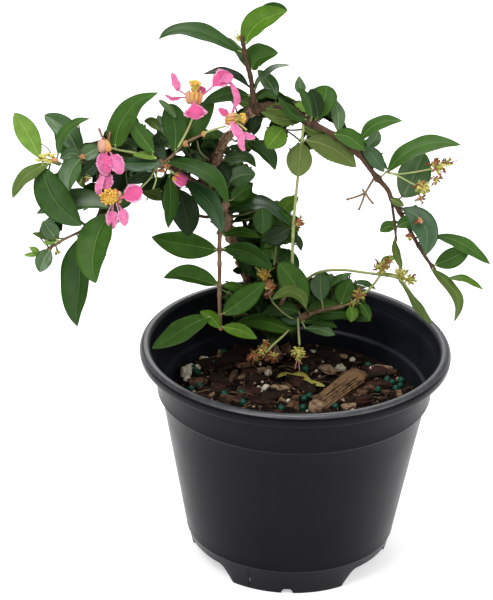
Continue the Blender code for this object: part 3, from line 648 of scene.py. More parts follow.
def view_leaf(group, tone, face, width, gain, nodes, on=None, off=0.0, fold=14.0, early=0.92, full=0.78,
              left=None, right=None, roll=0, ratio=0.43, wave=0.05, curl=0.45, veins=6.0, cells=6, steps=26,
              stalk=True, bulge=0.0, length_scale=1.0, serrate=0.0):
    """A leaf placed by where it shows: nodes from base to tip in the frame, width
    in frame units, gain is how much farther the tip is than the base (mm)."""
    names = [on] if isinstance(on, str) else on
    limb_name, index, at, radius = nearest_on(*nodes[0], names)
    base_depth = project(at[None])[0, 2] - radius * 0.6 + off * MM
    path = spline(nodes, steps)
    t = np.linspace(0, 1, steps)
    depth = base_depth + gain * MM * t + bulge * MM * np.sin(np.pi * t)
    spine = place(path[:, 0], path[:, 1], depth)
    tangent = unit(np.gradient(spine, axis=0))
    ray = unit(spine - EYE)
    side = unit(np.cross(tangent, ray))
    front = np.cross(tangent, side)
    scale = depth.mean() / FOCAL
    length = np.linalg.norm(np.diff(spine, axis=0), axis=1).sum()
    wl = (left if left is not None else width / 2) * scale
    wr = (right if right is not None else width / 2) * scale
    slim = min(1.0, max(0.72, 0.72 + 1.1 * ((wl + wr) / length - 0.12)))
    arc = math.sqrt(math.sin(curl) ** 2 + (1 - math.cos(curl)) ** 2) / curl
    fold_r = math.radians(fold)
    true_half = max(ratio * slim * length / 2, (wl + wr) / 2 / arc / math.cos(fold_r), max(wl, wr) / arc * 1.005)
    shape = np.maximum(outline(t, early, full), 0.02)
    shape[0] = max(shape[0], 0.10)
    shape[1] = max(shape[1], 0.12)
    shape[-1] = 0.03
    up = 1 if face == "u" else -1
    a_l = math.acos(min(1.0, wl / (true_half * arc)))
    a_r = math.acos(min(1.0, wr / (true_half * arc)))
    left_up = float((side.mean(0) @ UP) > 0)
    if roll:
        left_up = 1.0 if roll > 0 else 0.0
    if face == "d":
        left_up = 1.0 - left_up
    if a_l < fold_r * 1.4 and a_r < fold_r * 1.4:      # seen full on: both halves lift a little
        lean_l, lean_r = a_l * up, a_r * up
    else:
        lean_l, lean_r = (-a_l if left_up else a_l), (a_r if left_up else -a_r)
    lean_l -= up * curl / 2
    lean_r -= up * curl / 2
    heap = heap_for(group)
    top = blade(heap, spine, side, front, true_half * shape, lean_l, lean_r, up, tone_mats(tone), cells=cells,
                curl=curl, veins=veins, wave=wave, phase=RNG.random(), serrate=serrate)
    mark(densify(top, 4))
    if stalk:
        gap = np.linalg.norm(spine[0] - at)
        SWELLINGS[limb_name].append(index)
        if gap > 6 * MM:
            petiole(at, spine[0], 0.50 * MM, 0.38 * MM, W_DULL_AND_SHADED, sag=-0.06 * gap)
        elif gap > 0.3 * MM:
            # stalks of leaves set behind, or of dark and blue leaves, take the darker stem: painted shade
            petiole(at, spine[1], 0.50 * MM, 0.40 * MM, W_GREEN if off <= 0 and tone not in ("dark", "blue") else W_DULL_AND_SHADED, sag=0.0)
    return spine


def view_stalk(nodes, gains, radii, mat, on=None, off=0.0, sides=8, heap=None, steps=20, knob=0.0, name=None):
    """A thin stem placed by where it shows; gains is how far (mm) each node is behind its foot."""
    names = [on] if isinstance(on, str) else on
    limb_name, index, at, radius = nearest_on(*nodes[0], names)
    base = project(at[None])[0, 2] + off * MM
    depth = base + np.asarray(gains, float) * MM
    pts = place([n[0] for n in nodes], [n[1] for n in nodes], depth)
    if np.linalg.norm(pts[0] - at) < 3.5 * MM:
        pts = np.vstack([at, pts[1:]]) if len(pts) > 2 else np.vstack([at, pts])
    p = spline(pts, steps)
    r = np.linspace(radii[0], radii[1], steps) * MM
    if knob:
        r = r * (1 + knob * np.exp(-((np.linspace(0, 1, steps) - 1) / 0.08) ** 2))
    tube(TWIGS if heap is None else heap, p, r, sides, mat)
    SWELLINGS[limb_name].append(index)
    mark(p)
    if name:
        CARRIERS[name] = (p, r)
        SWELLINGS[name] = []
    return p


# finer stems that carry leaves and blossom
LN = ["bough_left_outer", "bough_left"]
view_stalk([(159, 162), (146, 156.5), (133, 152.5), (119, 150), (108, 147.5)], [-1, -2.5, -3.5, -4, -5], (0.75, 0.55), W_GREEN,
           on=LN, off=-1, name="stalk_upper_left", steps=30)
view_stalk([(163, 163), (173, 155), (181, 146), (190, 140), (202, 135)], [-1, -4, -6, -7, -8], (0.75, 0.55), W_TAN,
           on=LN, off=-1, name="stalk_node", steps=30)
view_stalk([(202, 135), (208, 131.5), (217, 128.5), (226, 126)], [0, -0.5, -1, -1.5], (0.62, 0.5), W_GREEN,
           on="stalk_node", name="stalk_flower_two", steps=24)
view_stalk([(175, 153.5), (180, 144), (187, 131), (193, 117)], [0, -2.5, -5, -7], (0.62, 0.5), W_GREEN,
           on="stalk_node", name="stalk_flower_one", steps=24)
view_stalk([(60, 164), (50, 161), (40, 159)], [0, -1, -2], (0.75, 0.6), W_GREEN, on="bough_left_outer", off=-1,
           name="stalk_tip", steps=16)
view_stalk([(84, 164), (84, 174), (79, 184)], [0, -1, -2], (0.5, 0.4), W_GREEN, on="bough_left_outer", off=-1,
           name="stalk_tip_low", steps=16)

# group, tone, face, width, gain, nodes, extras
OUT = ["bough_left_outer", "stalk_tip", "stalk_tip_low"]
LOWT = "twig_left_low"
LN = ["bough_left_outer", "bough_left", "stalk_upper_left", "stalk_node"]
LEAVES = [
    # the tip of the left bough
    ("left", "lime", "u", 22, -6, [(40, 158), (32.5, 142.5), (23, 126), (14.5, 113)], dict(on=OUT, early=1.15, full=0.66, off=-1)),
    ("left", "sheen", "u", 23, 5, [(80, 155), (72, 139), (61, 125), (44.5, 115)], dict(on=OUT, full=0.6, off=2)),
    ("left", "mid", "u", 10, -8, [(58, 155), (59, 142), (66, 130), (77, 122), (89.5, 118.3)], dict(on=OUT, off=-2)),
    ("left", "olive", "u", 14, -10, [(49, 163), (34, 170), (21, 181), (12.6, 198)], dict(on=OUT, off=-2)),
    ("left", "deep", "u", 33, -8, [(42, 167), (48, 188), (60.5, 207.5), (81, 225.5)], dict(on=OUT, off=-3, full=0.7)),
    ("left", "sheen", "u", 12, -1, [(83, 158), (72, 153), (60, 158.5)], dict(on=OUT, off=-1, full=0.6)),
    ("left", "sheen", "u", 21, 5, [(111, 208), (92, 205.5), (65, 207), (37, 213.5)],
     dict(on=LOWT, off=-5, left=3.5, right=17.5, early=0.85)),
    ("left", "sheen", "u", 21, -6, [(80, 159), (73, 168), (69, 179), (68.3, 192)], dict(on=OUT, off=-3, left=9, right=12)),
    ("left", "sheen", "u", 17, 0, [(81, 157), (90, 152), (99, 147)], dict(on=OUT, off=-2, full=0.62)),
    ("left", "dark", "u", 15, 1, [(82, 176), (90, 169), (100, 159)], dict(on=OUT, off=-1)),
    ("left", "lime", "u", 9, 2, [(79, 169), (80, 178), (84, 188)], dict(on=OUT, off=1)),
    ("left", "dark", "u", 13, 3, [(47, 176), (54, 204), (62, 231)], dict(on=OUT, off=4)),
    ("left", "dark", "u", 8, 4, [(104, 173), (98, 177), (92, 182)], dict(on=OUT, off=5)),
    ("left", "sheen", "u", 14, 3, [(104, 165), (92, 160), (84, 150)], dict(on=OUT, off=7)),
    # the low twig on the left
    ("left", "mid", "u", 31, -12, [(108, 214), (97, 237), (92.5, 262), (95.7, 283)],
     dict(on=LOWT, off=-5, full=0.7, left=14, right=19)),
    ("left", "deep", "u", 31, -6, [(84, 235), (80, 262), (79.5, 284), (76.5, 309), (77.3, 326)],
     dict(on=LOWT, off=1, full=0.75, left=10, right=19.5)),
    ("left", "sheen", "u", 18, -3, [(57.5, 239.5), (50, 231), (43, 221)], dict(on=LOWT, full=0.62)),
    ("left", "olive", "u", 7, -2, [(57, 239), (45, 236), (32, 233)], dict(on=LOWT)),
    ("left", "lime", "u", 6, -2, [(57, 240), (50, 242), (43, 243)], dict(on=LOWT)),
    ("left", "sheen", "u", 17, -3, [(50, 250), (44, 259), (39.5, 272)], dict(on=LOWT, full=0.62)),
    ("left", "lime", "u", 5, -2, [(40, 253), (32, 254.5), (23.5, 255)], dict(on=LOWT)),
    ("left", "lime", "u", 6, -2, [(40, 253), (35, 250), (29, 247)], dict(on=LOWT)),
    # the arch of leaves over the left bough
    ("left", "mid", "u", 27, -6, [(115, 147), (117.5, 131), (124.5, 116.5), (138, 101.5), (157.8, 92.6)],
     dict(on=LN, left=12, right=12, off=-1, early=0.62, full=0.85)),
    ("left", "mid", "u", 17, -5, [(154, 153), (143, 138), (135, 127), (130, 116.5)], dict(on=LN, off=-4)),
    ("left", "sheen", "u", 11, 5, [(138, 147), (128, 142), (117, 140)], dict(on=LN, off=5)),
    ("left", "sheen", "u", 14, 6, [(167, 141), (163, 128), (158, 115)], dict(on=LN, off=6)),
    ("left", "olive", "u", 10, 5, [(160, 130), (152, 122), (144, 121)], dict(on=LN, off=7)),
    ("left", "dark", "u", 12, 5, [(172, 140), (160, 138), (152, 145)], dict(on=LN, off=5)),
    ("left", "lime", "u", 8, -2, [(157, 158), (146, 155), (133, 155)], dict(on=LN, off=-3)),
    ("left", "blue", "u", 16, -1, [(162, 163), (140, 163.5), (113, 163)], dict(on=LN, off=-4, left=8.5, right=7)),
    ("left", "dark", "u", 12, 2, [(154, 175), (142, 177), (128, 183)], dict(on=LN, off=1)),
    ("left", "deep", "u", 11, 1, [(128, 190), (127, 199), (121.5, 209)], dict(on=LN, off=4)),
    ("left", "dark", "u", 17, 4, [(121, 170), (120, 180), (122, 191)], dict(on=LN, off=5)),
    ("left", "olive", "u", 12, 3, [(166, 199), (155, 194.5), (141, 191)], dict(on=LN, off=3)),
    ("left", "deep", "u", 15, -4, [(169, 175), (170.5, 192), (170.5, 208), (168.2, 228)], dict(on=LN, off=-1)),
    ("left", "dark", "u", 28, 3, [(179, 190), (183.5, 205), (187, 220), (189, 236)], dict(on="bough_left", off=3, full=0.7)),
    ("mid", "deep", "u", 22, -12, [(166, 161), (184, 164), (203, 171), (217.5, 183), (228, 204)],
     dict(on="bough_left", off=-3, left=9.5, right=7.5, early=1.0)),
    ("mid", "blue", "u", 20, -3, [(186, 181), (201, 193), (214, 209), (222.5, 233)], dict(on="bough_left", off=1)),
    ("left", "deep", "u", 25, -3, [(175, 151), (175.5, 130), (170, 103.5)], dict(on=LN, off=-1, full=0.52, early=1.25)),
    ("left", "sheen", "u", 7, -1, [(176, 117), (168, 107.5), (159, 100)], dict(on=LN, off=-4, stalk=False, full=0.5)),
    ("left", "mid", "u", 24, 3, [(174, 152), (187, 134), (200, 116), (213.5, 98.5)], dict(on=LN, off=2, early=1.1, full=0.7)),
    # the leader
    ("top", "deep", "u", 16, -5, [(241, 53), (226, 42.5), (206, 32.5), (184, 28.5), (168, 32), (158.8, 39)],
     dict(on="leader", early=0.95)),
    ("top", "bright", "u", 24, -4, [(246, 44), (250, 32), (261, 21), (274, 15), (287, 11)],
     dict(on="leader", left=14, right=9, off=-1)),
    ("top", "deep", "u", 15, 2, [(256, 20), (268, 11), (278, 9), (287.5, 11)], dict(on="leader", off=2, stalk=False, full=0.6)),
    ("top", "mid", "u", 22, -4, [(251.5, 69), (257, 60), (267, 56), (278, 53)],
     dict(on="leader", left=15.5, right=6.5, early=0.7, full=0.7)),
    ("top", "sheen", "u", 6, -6, [(255, 90), (257.5, 81), (266.5, 72), (277.5, 66), (290.3, 65)], dict(on="leader", off=-1)),
    ("top", "sheen", "u", 15, 4, [(276, 98), (272.5, 87), (265, 77.5), (257.5, 70)], dict(on=["leader", "arch_rising"], off=3)),
    ("top", "dark", "u", 8, -3, [(249.5, 87), (238, 76), (222, 70.5), (203, 74)], dict(on="leader")),
    ("top", "deep", "u", 15, -5, [(250, 96), (229, 93.5), (203, 102.5)], dict(on="leader")),
    ("top", "olive", "u", 10, -2, [(251, 105), (244, 102), (236, 100.5)], dict(on="leader", off=1)),
    ("top", "sheen", "u", 8, -1, [(245.5, 66), (239.5, 52), (229, 40.5)], dict(on="leader", off=2)),
    ("top", "dark", "u", 15, 4, [(253, 111), (254, 122), (254, 135)], dict(on=["bough_upper", "arch_rising"], off=3)),
    ("top", "deep", "u", 17, -6, [(248, 143), (259, 150), (268, 159), (275, 170)],
     dict(on="bough_upper", off=-2, left=12, right=4)),
    ("mid", "sheen", "u", 12, -6, [(223, 160), (237, 156), (248, 158), (256, 167)], dict(on="bough_upper", off=-2)),
    ("mid", "sheen", "u", 5, -2, [(234, 141.5), (246, 138), (260, 139)], dict(on="bough_upper", off=1)),
    ("mid", "deep", "u", 5, -1, [(228, 147.5), (235, 147), (241, 150.5)], dict(on="bough_upper", off=1)),
    ("mid", "dark", "u", 13, -2, [(217, 163), (224, 169), (229, 182)], dict(on="bough_upper", off=-1)),
    ("mid", "mid", "u", 8, 1, [(220, 138.5), (211, 134.5), (202, 139)], dict(on="bough_upper", off=0)),
    ("mid", "deep", "u", 10, 1, [(218, 148), (210, 142.5), (201, 147)], dict(on="bough_upper", off=0)),
    ("mid", "dark", "u", 14, 3, [(215, 158), (206, 151), (194, 144)], dict(on="bough_upper", off=4)),
    ("mid", "sheen", "u", 21, -6, [(229, 182), (241, 175.5), (255.5, 174)], dict(on="bough_upper", off=-3, full=0.55)),
    ("mid", "mid", "u", 18, 2, [(230, 200), (241, 191), (253, 183)], dict(on="bough_upper", off=-1)),
    ("mid", "mid", "u", 12, 2, [(229, 206), (245, 198), (263, 198)], dict(on=["bough_upper", "trunk"], off=1)),
    # the start of the right arch
    ("right", "deep", "u", 9, -2, [(255, 99), (266, 93), (277, 99)], dict(on="arch_rising")),
    ("right", "deep", "u", 10, -3, [(307, 120), (293, 114.5), (278, 97)], dict(on="arch_rising", off=-2)),
    ("right", "olive", "u", 13, -2, [(304, 119), (283, 119), (261, 112)], dict(on="arch_rising", off=0)),
    ("right", "bright", "u", 24, -5, [(283, 129), (275, 138), (267, 148)], dict(on="upright_stem", off=-1, full=0.6)),
    ("right", "olive", "d", 26, -6, [(301.5, 143), (299.5, 158), (298, 176.5)], dict(on="upright_stem", off=-1, full=0.6)),
    ("right", "olive", "d", 25, -5, [(306, 140), (324, 144.5), (341, 153.5), (356, 167)],
     dict(on=["upright_stem", "arch_rising"], off=-2, serrate=0.03)),
    ("right", "olive", "u", 13, 3, [(303, 126), (315, 132), (331, 140)], dict(on="arch_rising", off=2)),
    ("right", "mid", "u", 25, 1, [(315, 121), (322.5, 105), (327.5, 85.5)], dict(on="arch_rising", off=0, early=1.7, full=0.5)),
    # a dark leaf laid over the shaded hollow of the broad cupped leaf beside it: painted shade
    ("right", "dark", "u", 16, -2, [(318, 118), (316, 104), (310.5, 89)], dict(on="arch_rising", off=-3, full=0.6, early=1.1)),
    ("right", "deep", "u", 12, -4, [(312, 119), (310, 107), (305.5, 97), (298, 88)], dict(on="arch_rising", off=-4)),
    ("right", "sheen", "u", 11, -2, [(303, 92), (300, 86), (299, 76)], dict(on="arch_rising", off=-4, early=0.62, stalk=False)),
    ("right", "lime", "u", 10, -1, [(309, 112), (302, 105.5), (295, 105)], dict(on="arch_rising", off=-1)),
    ("right", "sheen", "u", 14, 4, [(338, 131), (338.5, 115), (333.5, 98)], dict(on=["arch_rising", "arch_falling"], off=3)),
    ("right", "mid", "u", 18, -3, [(334, 134), (349, 137), (365, 150.5)], dict(on=["arch_rising", "arch_falling"], off=-3)),
    ("right", "sheen", "u", 13, 4, [(367, 147), (374, 140), (379, 131)], dict(on="arch_falling", off=3)),
    ("right", "blue", "u", 16, -2, [(363, 147), (374, 157), (384, 172)], dict(on="arch_falling", off=0)),
    ("right", "mid", "u", 14, -4, [(360, 140), (370, 128), (385, 121), (402, 120.5)], dict(on="arch_falling", off=-1)),
    ("right", "mid", "u", 18, -6, [(387, 172), (401.5, 155.5), (423, 144.5), (444, 142.5), (460.5, 144.8)],
     dict(on=["arch_falling", "arch_tip"], off=-1)),
    ("right", "sheen", "u", 33, 5, [(402.5, 197), (413, 178), (423.5, 152)], dict(on=["arch_falling", "arch_tip"], off=3, full=0.62)),
    # the right tip
    ("right", "mid", "u", 12, -2, [(395, 228), (388, 226.5), (380, 231.5)], dict(on="arch_twig")),
    ("right", "mid", "u", 13, -1, [(397, 227), (407, 222), (417.5, 229.5)], dict(on="arch_tip", off=-3)),
    ("right", "olive", "u", 8, -4, [(394.5, 239), (396.5, 253), (402, 270)], dict(on="arch_twig")),
    ("right", "olive", "u", 8, -2, [(391, 199), (397, 202), (404, 206)], dict(on="arch_tip", off=-2)),
    ("right", "blue", "u", 25, -7, [(404, 208), (418, 218), (427, 234), (426, 255)], dict(on="arch_tip", off=-3, left=13, right=12)),
    ("right", "mid", "u", 14, -3, [(436, 235.5), (457, 241), (474, 251), (490, 264)], dict(on="arch_tip", off=-1)),
    ("right", "mid", "u", 20, -4, [(435, 265), (451, 258.5), (471, 248)], dict(on="arch_tip", off=0)),
    ("right", "bright", "u", 7, -4, [(447, 278), (465, 278.5), (483.5, 289.5)], dict(on="arch_tip")),
    ("right", "olive", "u", 11.5, -6, [(431, 268), (445, 280.5), (456.5, 295), (458.5, 308), (454.5, 321.5)], dict(on="arch_tip", off=-1)),
    ("right", "olive", "u", 9, -6, [(399, 280), (411, 296), (421, 311), (432, 324)],
     dict(on=["arc_stem_end", "arc_stem"], off=-1, early=1.6)),
    # the hanging twig
    ("mid", "mid", "u", 27, -7, [(217, 250), (199, 247), (175, 243), (151.6, 237)], dict(on="hanging_twig", full=0.8)),
    ("mid", "mid", "u", 18, -4, [(218, 285), (200, 280), (182, 276), (163.8, 277.8)], dict(on="hanging_twig", left=5, right=13)),
    ("low", "mid", "u", 22, -8, [(210, 316), (190, 325), (170, 338), (152, 348.5)], dict(on="hanging_twig", off=-1)),
    ("low", "bright", "u", 13, -3, [(220, 328), (211, 317), (200, 311.5)], dict(on="hanging_twig", off=-1)),
    ("low", "bright", "u", 14, -3, [(222, 327), (239, 330), (257, 338.5)], dict(on="hanging_twig", off=-1)),
    # the middle of the crown
    ("low", "mid", "u", 23, -6, [(223, 314), (240, 302), (254, 291), (266, 282)], dict(on="hanging_twig", off=-2)),
    ("low", "mid", "u", 10, 2, [(222, 285), (236, 287), (250, 297)], dict(on="hanging_twig", off=2)),
    ("mid", "deep", "u", 20, -3, [(223, 248.5), (240, 250.5), (257, 257.5), (273, 270)], dict(on="hanging_twig", off=0)),
    ("mid", "mid", "u", 10, 1, [(223, 235), (241, 231.5), (261, 237)], dict(on=["hanging_twig", "trunk"], off=0)),
    ("mid", "dark", "u", 8, -2, [(244, 271.5), (239, 270.5), (232.5, 270.5)], dict(on="trunk", off=-2)),
    ("mid", "dark", "u", 7, 2, [(233, 222), (243, 218), (254, 220)], dict(on="trunk", off=-3)),
    ("mid", "blue", "u", 14, -6, [(228, 214), (240, 205), (258, 202), (274, 208.5), (290, 225)], dict(on="hanging_twig", off=-3)),
    ("mid", "deep", "u", 21, -2, [(262, 208), (263, 220), (262, 234)], dict(on="trunk", off=-12, full=0.62)),
    ("mid", "mid", "u", 22, -1, [(271, 211), (284, 225), (297, 243)], dict(on="trunk", off=-8)),
    ("mid", "bright", "u", 16, 2, [(277, 216), (287, 205), (298.5, 197)], dict(on="trunk", off=-3)),
    ("mid", "deep", "u", 19, 3, [(296, 275), (289, 261), (280, 248)], dict(on=["basal_stem", "upright_stem"], off=3)),
    ("mid", "dark", "u", 7, 2, [(293, 234), (299, 241), (301.5, 251)], dict(on="upright_stem", off=2)),
    ("mid", "mid", "u", 13, 3, [(287, 236), (276, 240.5), (264, 247)], dict(on="upright_stem", off=8)),
    ("mid", "blue", "u", 18, 3, [(240, 262), (256, 268), (272, 280)], dict(on="trunk", off=-6)),
    ("low", "mid", "u", 27, -3, [(306, 305), (298.5, 290), (289.5, 276), (279, 262.5)], dict(on="low_branch", off=-20, full=0.62, early=1.12)),
    ("low", "deep", "u", 12, 1, [(333, 304), (335, 293), (337, 281)], dict(on="low_branch", off=2)),
    ("low", "mid", "u", 11, 1, [(317, 306), (312, 299), (307, 291)], dict(on="low_branch", off=2)),
    ("low", "mid", "u", 12, 1, [(342, 305), (349, 297), (357, 286)], dict(on="low_branch", off=2)),
    ("low", "olive", "u", 15, -4, [(306, 308), (301, 297), (288, 292), (272, 299.5)], dict(on="low_branch", off=-22, left=5, right=7.5)),
    ("low", "mid", "u", 17, -7, [(293, 331), (264, 321.5), (237, 322.5)], dict(on="low_branch", off=-10)),
    ("low", "blue", "u", 18, -3, [(297, 333), (277, 321), (255, 306)], dict(on="low_branch", off=-2)),
    ("low", "sheen", "u", 11, -5, [(304, 328), (319, 329), (335, 335)], dict(on="low_branch", off=-2, early=1.2)),
    ("low", "deep", "u", 10, -2, [(303, 322), (318, 320), (337, 327)], dict(on="low_branch", off=0)),
    ("low", "deep", "u", 14, -1, [(306, 319), (338, 312), (370, 321)], dict(on="low_branch", off=2)),
    ("low", "sheen", "u", 21, -2, [(322, 302), (320.5, 287), (321, 272)], dict(on="low_branch", off=-1, early=1.2)),
    ("low", "sheen", "u", 13, 1, [(336, 300), (332, 286), (331, 273)], dict(on="low_branch", off=3)),
    ("low", "mid", "u", 20, -2, [(341, 304), (345, 292), (351, 279)], dict(on="low_branch", off=-1)),
    ("low", "mid", "u", 6, 2, [(331, 286), (341, 277), (352, 273)], dict(on="low_branch", off=1)),
    ("low", "deep", "u", 6, 0, [(354, 282), (365, 283), (376, 289)], dict(on="low_branch")),
    ("low", "bright", "u", 13, -2, [(350, 306), (352, 313), (351, 322)], dict(on="low_branch", off=-2)),
    ("low", "mid", "u", 10, -1, [(360, 303), (366, 311), (370, 321)], dict(on="low_branch", off=-1)),
    ("low", "deep", "u", 13, 2, [(330, 301), (335, 292), (340, 284)], dict(on="low_branch", off=3)),
    ("low", "deep", "u", 12, 2, [(312, 304), (310, 295), (308, 286)], dict(on="low_branch", off=3)),
    ("low", "dark", "u", 15, 2, [(302, 318), (286, 306), (268, 301)], dict(on="low_branch", off=3)),
    ("low", "deep", "u", 12, 2, [(268, 322), (256, 312), (243, 309)], dict(on="low_branch", off=4)),
    # smaller leaves between the others
    ("left", "sheen", "u", 12, 3, [(137, 150), (128, 143.5), (119, 147)], dict(on=LN, off=3)),
    ("left", "dark", "u", 12, 3, [(113, 158), (101, 147), (88, 144)], dict(on=OUT, off=6)),
    ("left", "dark", "u", 17, 3, [(112, 164), (98, 169), (83, 174)], dict(on=OUT, off=6)),
    ("left", "blue", "u", 13, 3, [(165, 160), (158, 148), (148, 137)], dict(on=LN, off=4)),
    ("left", "sheen", "u", 13, 2, [(171, 148), (164, 139), (160, 124)], dict(on=LN, off=7)),
    ("left", "mid", "u", 10, 2, [(152, 160), (138, 159), (124, 160)], dict(on=LN, off=3)),
    ("left", "dark", "u", 14, 3, [(128, 168), (120, 181), (117, 195)], dict(on=LN, off=5)),
    ("left", "mid", "u", 15, 2, [(103, 191), (94, 190), (82, 190)], dict(on=LOWT, off=4)),
    ("left", "dark", "u", 14, 2, [(99, 203), (86, 198), (70, 192)], dict(on=LOWT, off=3)),
    ("left", "dark", "u", 9, 3, [(164, 187), (166, 200), (165, 212)], dict(on=LN, off=4)),
    ("left", "dark", "u", 10, 2, [(163, 178), (152, 184), (141, 190)], dict(on=LN, off=3)),
    ("mid", "mid", "u", 16, 3, [(191, 168), (206, 171), (218, 183)], dict(on="bough_left", off=3)),
    ("mid", "mid", "u", 17, 2, [(232, 200), (242, 192), (252, 186)], dict(on=["bough_upper", "trunk"], off=-2, full=0.6)),
    ("mid", "deep", "u", 9, 2, [(226, 136), (214, 134), (203, 141)], dict(on="bough_upper", off=2)),
    ("mid", "mid", "u", 8, 2, [(232, 152), (222, 150), (211, 153)], dict(on="bough_upper", off=2)),
    ("top", "dark", "u", 14, 2, [(256, 104), (256, 118), (252, 131)], dict(on=["bough_upper", "arch_rising"], off=2)),
    ("right", "mid", "u", 16, 2, [(256, 110), (272, 104), (289, 106)], dict(on="arch_rising", off=4)),
    ("right", "olive", "u", 17, -2, [(300, 116), (283, 110), (265, 109)], dict(on="arch_rising", off=2)),
    ("mid", "mid", "u", 16, 2, [(238, 216), (254, 211), (272, 215)], dict(on=["upright_stem", "trunk"], off=3)),
    ("mid", "dark", "u", 20, 2, [(290, 228), (276, 236), (262, 240)], dict(on="upright_stem", off=4)),
    ("mid", "deep", "u", 15, 2, [(234, 238), (250, 242), (268, 246)], dict(on=["upright_stem", "trunk"], off=3)),
    ("mid", "deep", "u", 17, 2, [(246, 232), (260, 224), (277, 222)], dict(on=["upright_stem", "trunk"], off=3)),
    ("mid", "mid", "u", 20, 2, [(274, 260), (270, 246), (262, 234)], dict(on="basal_stem", off=2)),
    ("mid", "deep", "u", 13, 2, [(236, 252), (244, 262), (250, 275)], dict(on="trunk", off=-3)),
    ("mid", "deep", "u", 18, 2, [(258, 262), (268, 272), (277, 285)], dict(on=["basal_stem", "trunk"], off=2)),
    ("low", "deep", "u", 14, 0, [(302, 321), (284, 328), (264, 334)], dict(on="low_branch", off=3)),
    ("low", "deep", "u", 17, 1, [(300, 312), (282, 308), (262, 314)], dict(on="low_branch", off=0)),
    ("low", "mid", "u", 15, 1, [(306, 312), (322, 306), (342, 306)], dict(on="low_branch", off=2)),
    ("low", "deep", "u", 16, 1, [(318, 312), (330, 298), (333, 283)], dict(on="low_branch", off=3)),
    ("low", "dark", "u", 14, 1, [(340, 308), (352, 300), (362, 292)], dict(on="low_branch", off=3)),
    ("low", "deep", "u", 14, 1, [(304, 312), (316, 296), (325, 283)], dict(on="low_branch", off=5)),
    ("low", "dark", "u", 15, 1, [(296, 318), (288, 304), (282, 290)], dict(on="low_branch", off=5)),
    ("low", "blue", "u", 13, 1, [(304, 322), (290, 318), (276, 308)], dict(on="low_branch", off=1)),
    ("low", "mid", "u", 12, 0, [(350, 306), (362, 308), (372, 316)], dict(on="low_branch", off=1)),
    ("low", "olive", "u", 9, 0, [(297, 288), (301, 281), (303, 272)], dict(on=["basal_stem", "upright_stem"], off=2)),
]
for group, tone, face, width, gain, nodes, extra in LEAVES:
    view_leaf(group, tone, face, width, gain, nodes, **extra)
HERO_COUNT = len(LEAVES)

# --------------------------------------------------------------- twigs and stalks placed one by one
# bare forked stalk and stubs
view_stalk([(374.7, 176), (370, 185), (365.3, 193)], [0, 1, 1], (0.66, 0.55), W_TAN, on="arch_falling")
CARRIERS["fork_stalk"] = (spline(place([374.7, 370, 365.3], [176, 185, 193],
                                       project(nearest_on(374.7, 176, ["arch_falling"])[2][None])[0, 2]
                                       + np.array([0, 1, 1]) * MM), 12), np.full(12, 0.45 * MM))
SWELLINGS["fork_stalk"] = []
for tip in ((346.7, 199.5), (358.8, 209.8), (373.2, 203.6), (362.6, 189.5)):
    view_stalk([(365.3, 193), ((365.3 + tip[0]) / 2, (193 + tip[1]) / 2 + 0.6), tip], [0, -0.5, -1.2],
               (0.58, 0.48), W_TAN, on="fork_stalk", knob=0.4)
view_stalk([(214, 216), (206, 217), (198, 215.5)], [0, 0, 0], (0.95, 0.8), W_RED, on="hanging_twig", off=0, knob=0.2)
view_stalk([(66, 238.5), (60, 238.5), (55, 236.5)], [0, 0, 0], (0.5, 0.4), W_DULL_AND_SHADED, on=LOWT)
view_stalk([(55, 245), (57, 249), (57.5, 252)], [0, 0, 0], (0.4, 0.35), W_DULL_AND_SHADED, on=LOWT)
view_stalk([(47, 250), (43, 252), (39, 253)], [0, 0, 0], (0.45, 0.35), W_DULL_AND_SHADED, on=LOWT)
view_stalk([(274, 265), (275, 256), (276, 248), (277, 241)], [0, 0, 0, 0], (0.6, 0.5), W_DULL_AND_SHADED,
           on=["basal_stem", "upright_stem"], off=-5)
view_stalk([(302, 142), (293, 135), (284, 129)], [0, -1, -1], (0.5, 0.45), W_DULL_AND_SHADED, on="upright_stem")
view_stalk([(209, 160), (200, 152), (197, 141)], [-1, -2, -1], (0.55, 0.45), W_GREEN, on="bough_upper", off=-1)
view_stalk([(61, 162.5), (51, 161), (40, 158)], [0, -1, -2], (1.15, 0.75), W_GREEN, on=OUT)
view_stalk([(60, 158), (51, 156), (41, 155)], [-1, -2, -2], (0.85, 0.5), W_GREEN, on=OUT)
view_stalk([(158, 168), (151, 177), (141, 188)], [0, 0, 1], (0.5, 0.4), W_GREEN, on=LN)
view_stalk([(158, 170), (156, 180), (153, 189)], [0, 0, 1], (0.45, 0.38), W_GREEN, on=LN)
view_stalk([(51, 153), (46.5, 147), (40.5, 143.5)], [0, -1, -1], (0.30, 0.22), W_TAN, on=OUT, sides=6)

# ------------------------------------------------------------------ blossom
BLOSSOM = Heap()
SPENT = Heap()


def near_depth(x, y, names=None, off=0.0):
    """How far ahead of the eye the carrier nearest to (x, y) is, plus off mm."""
    return project(nearest_on(x, y, names)[2][None])[0, 2] + off * MM


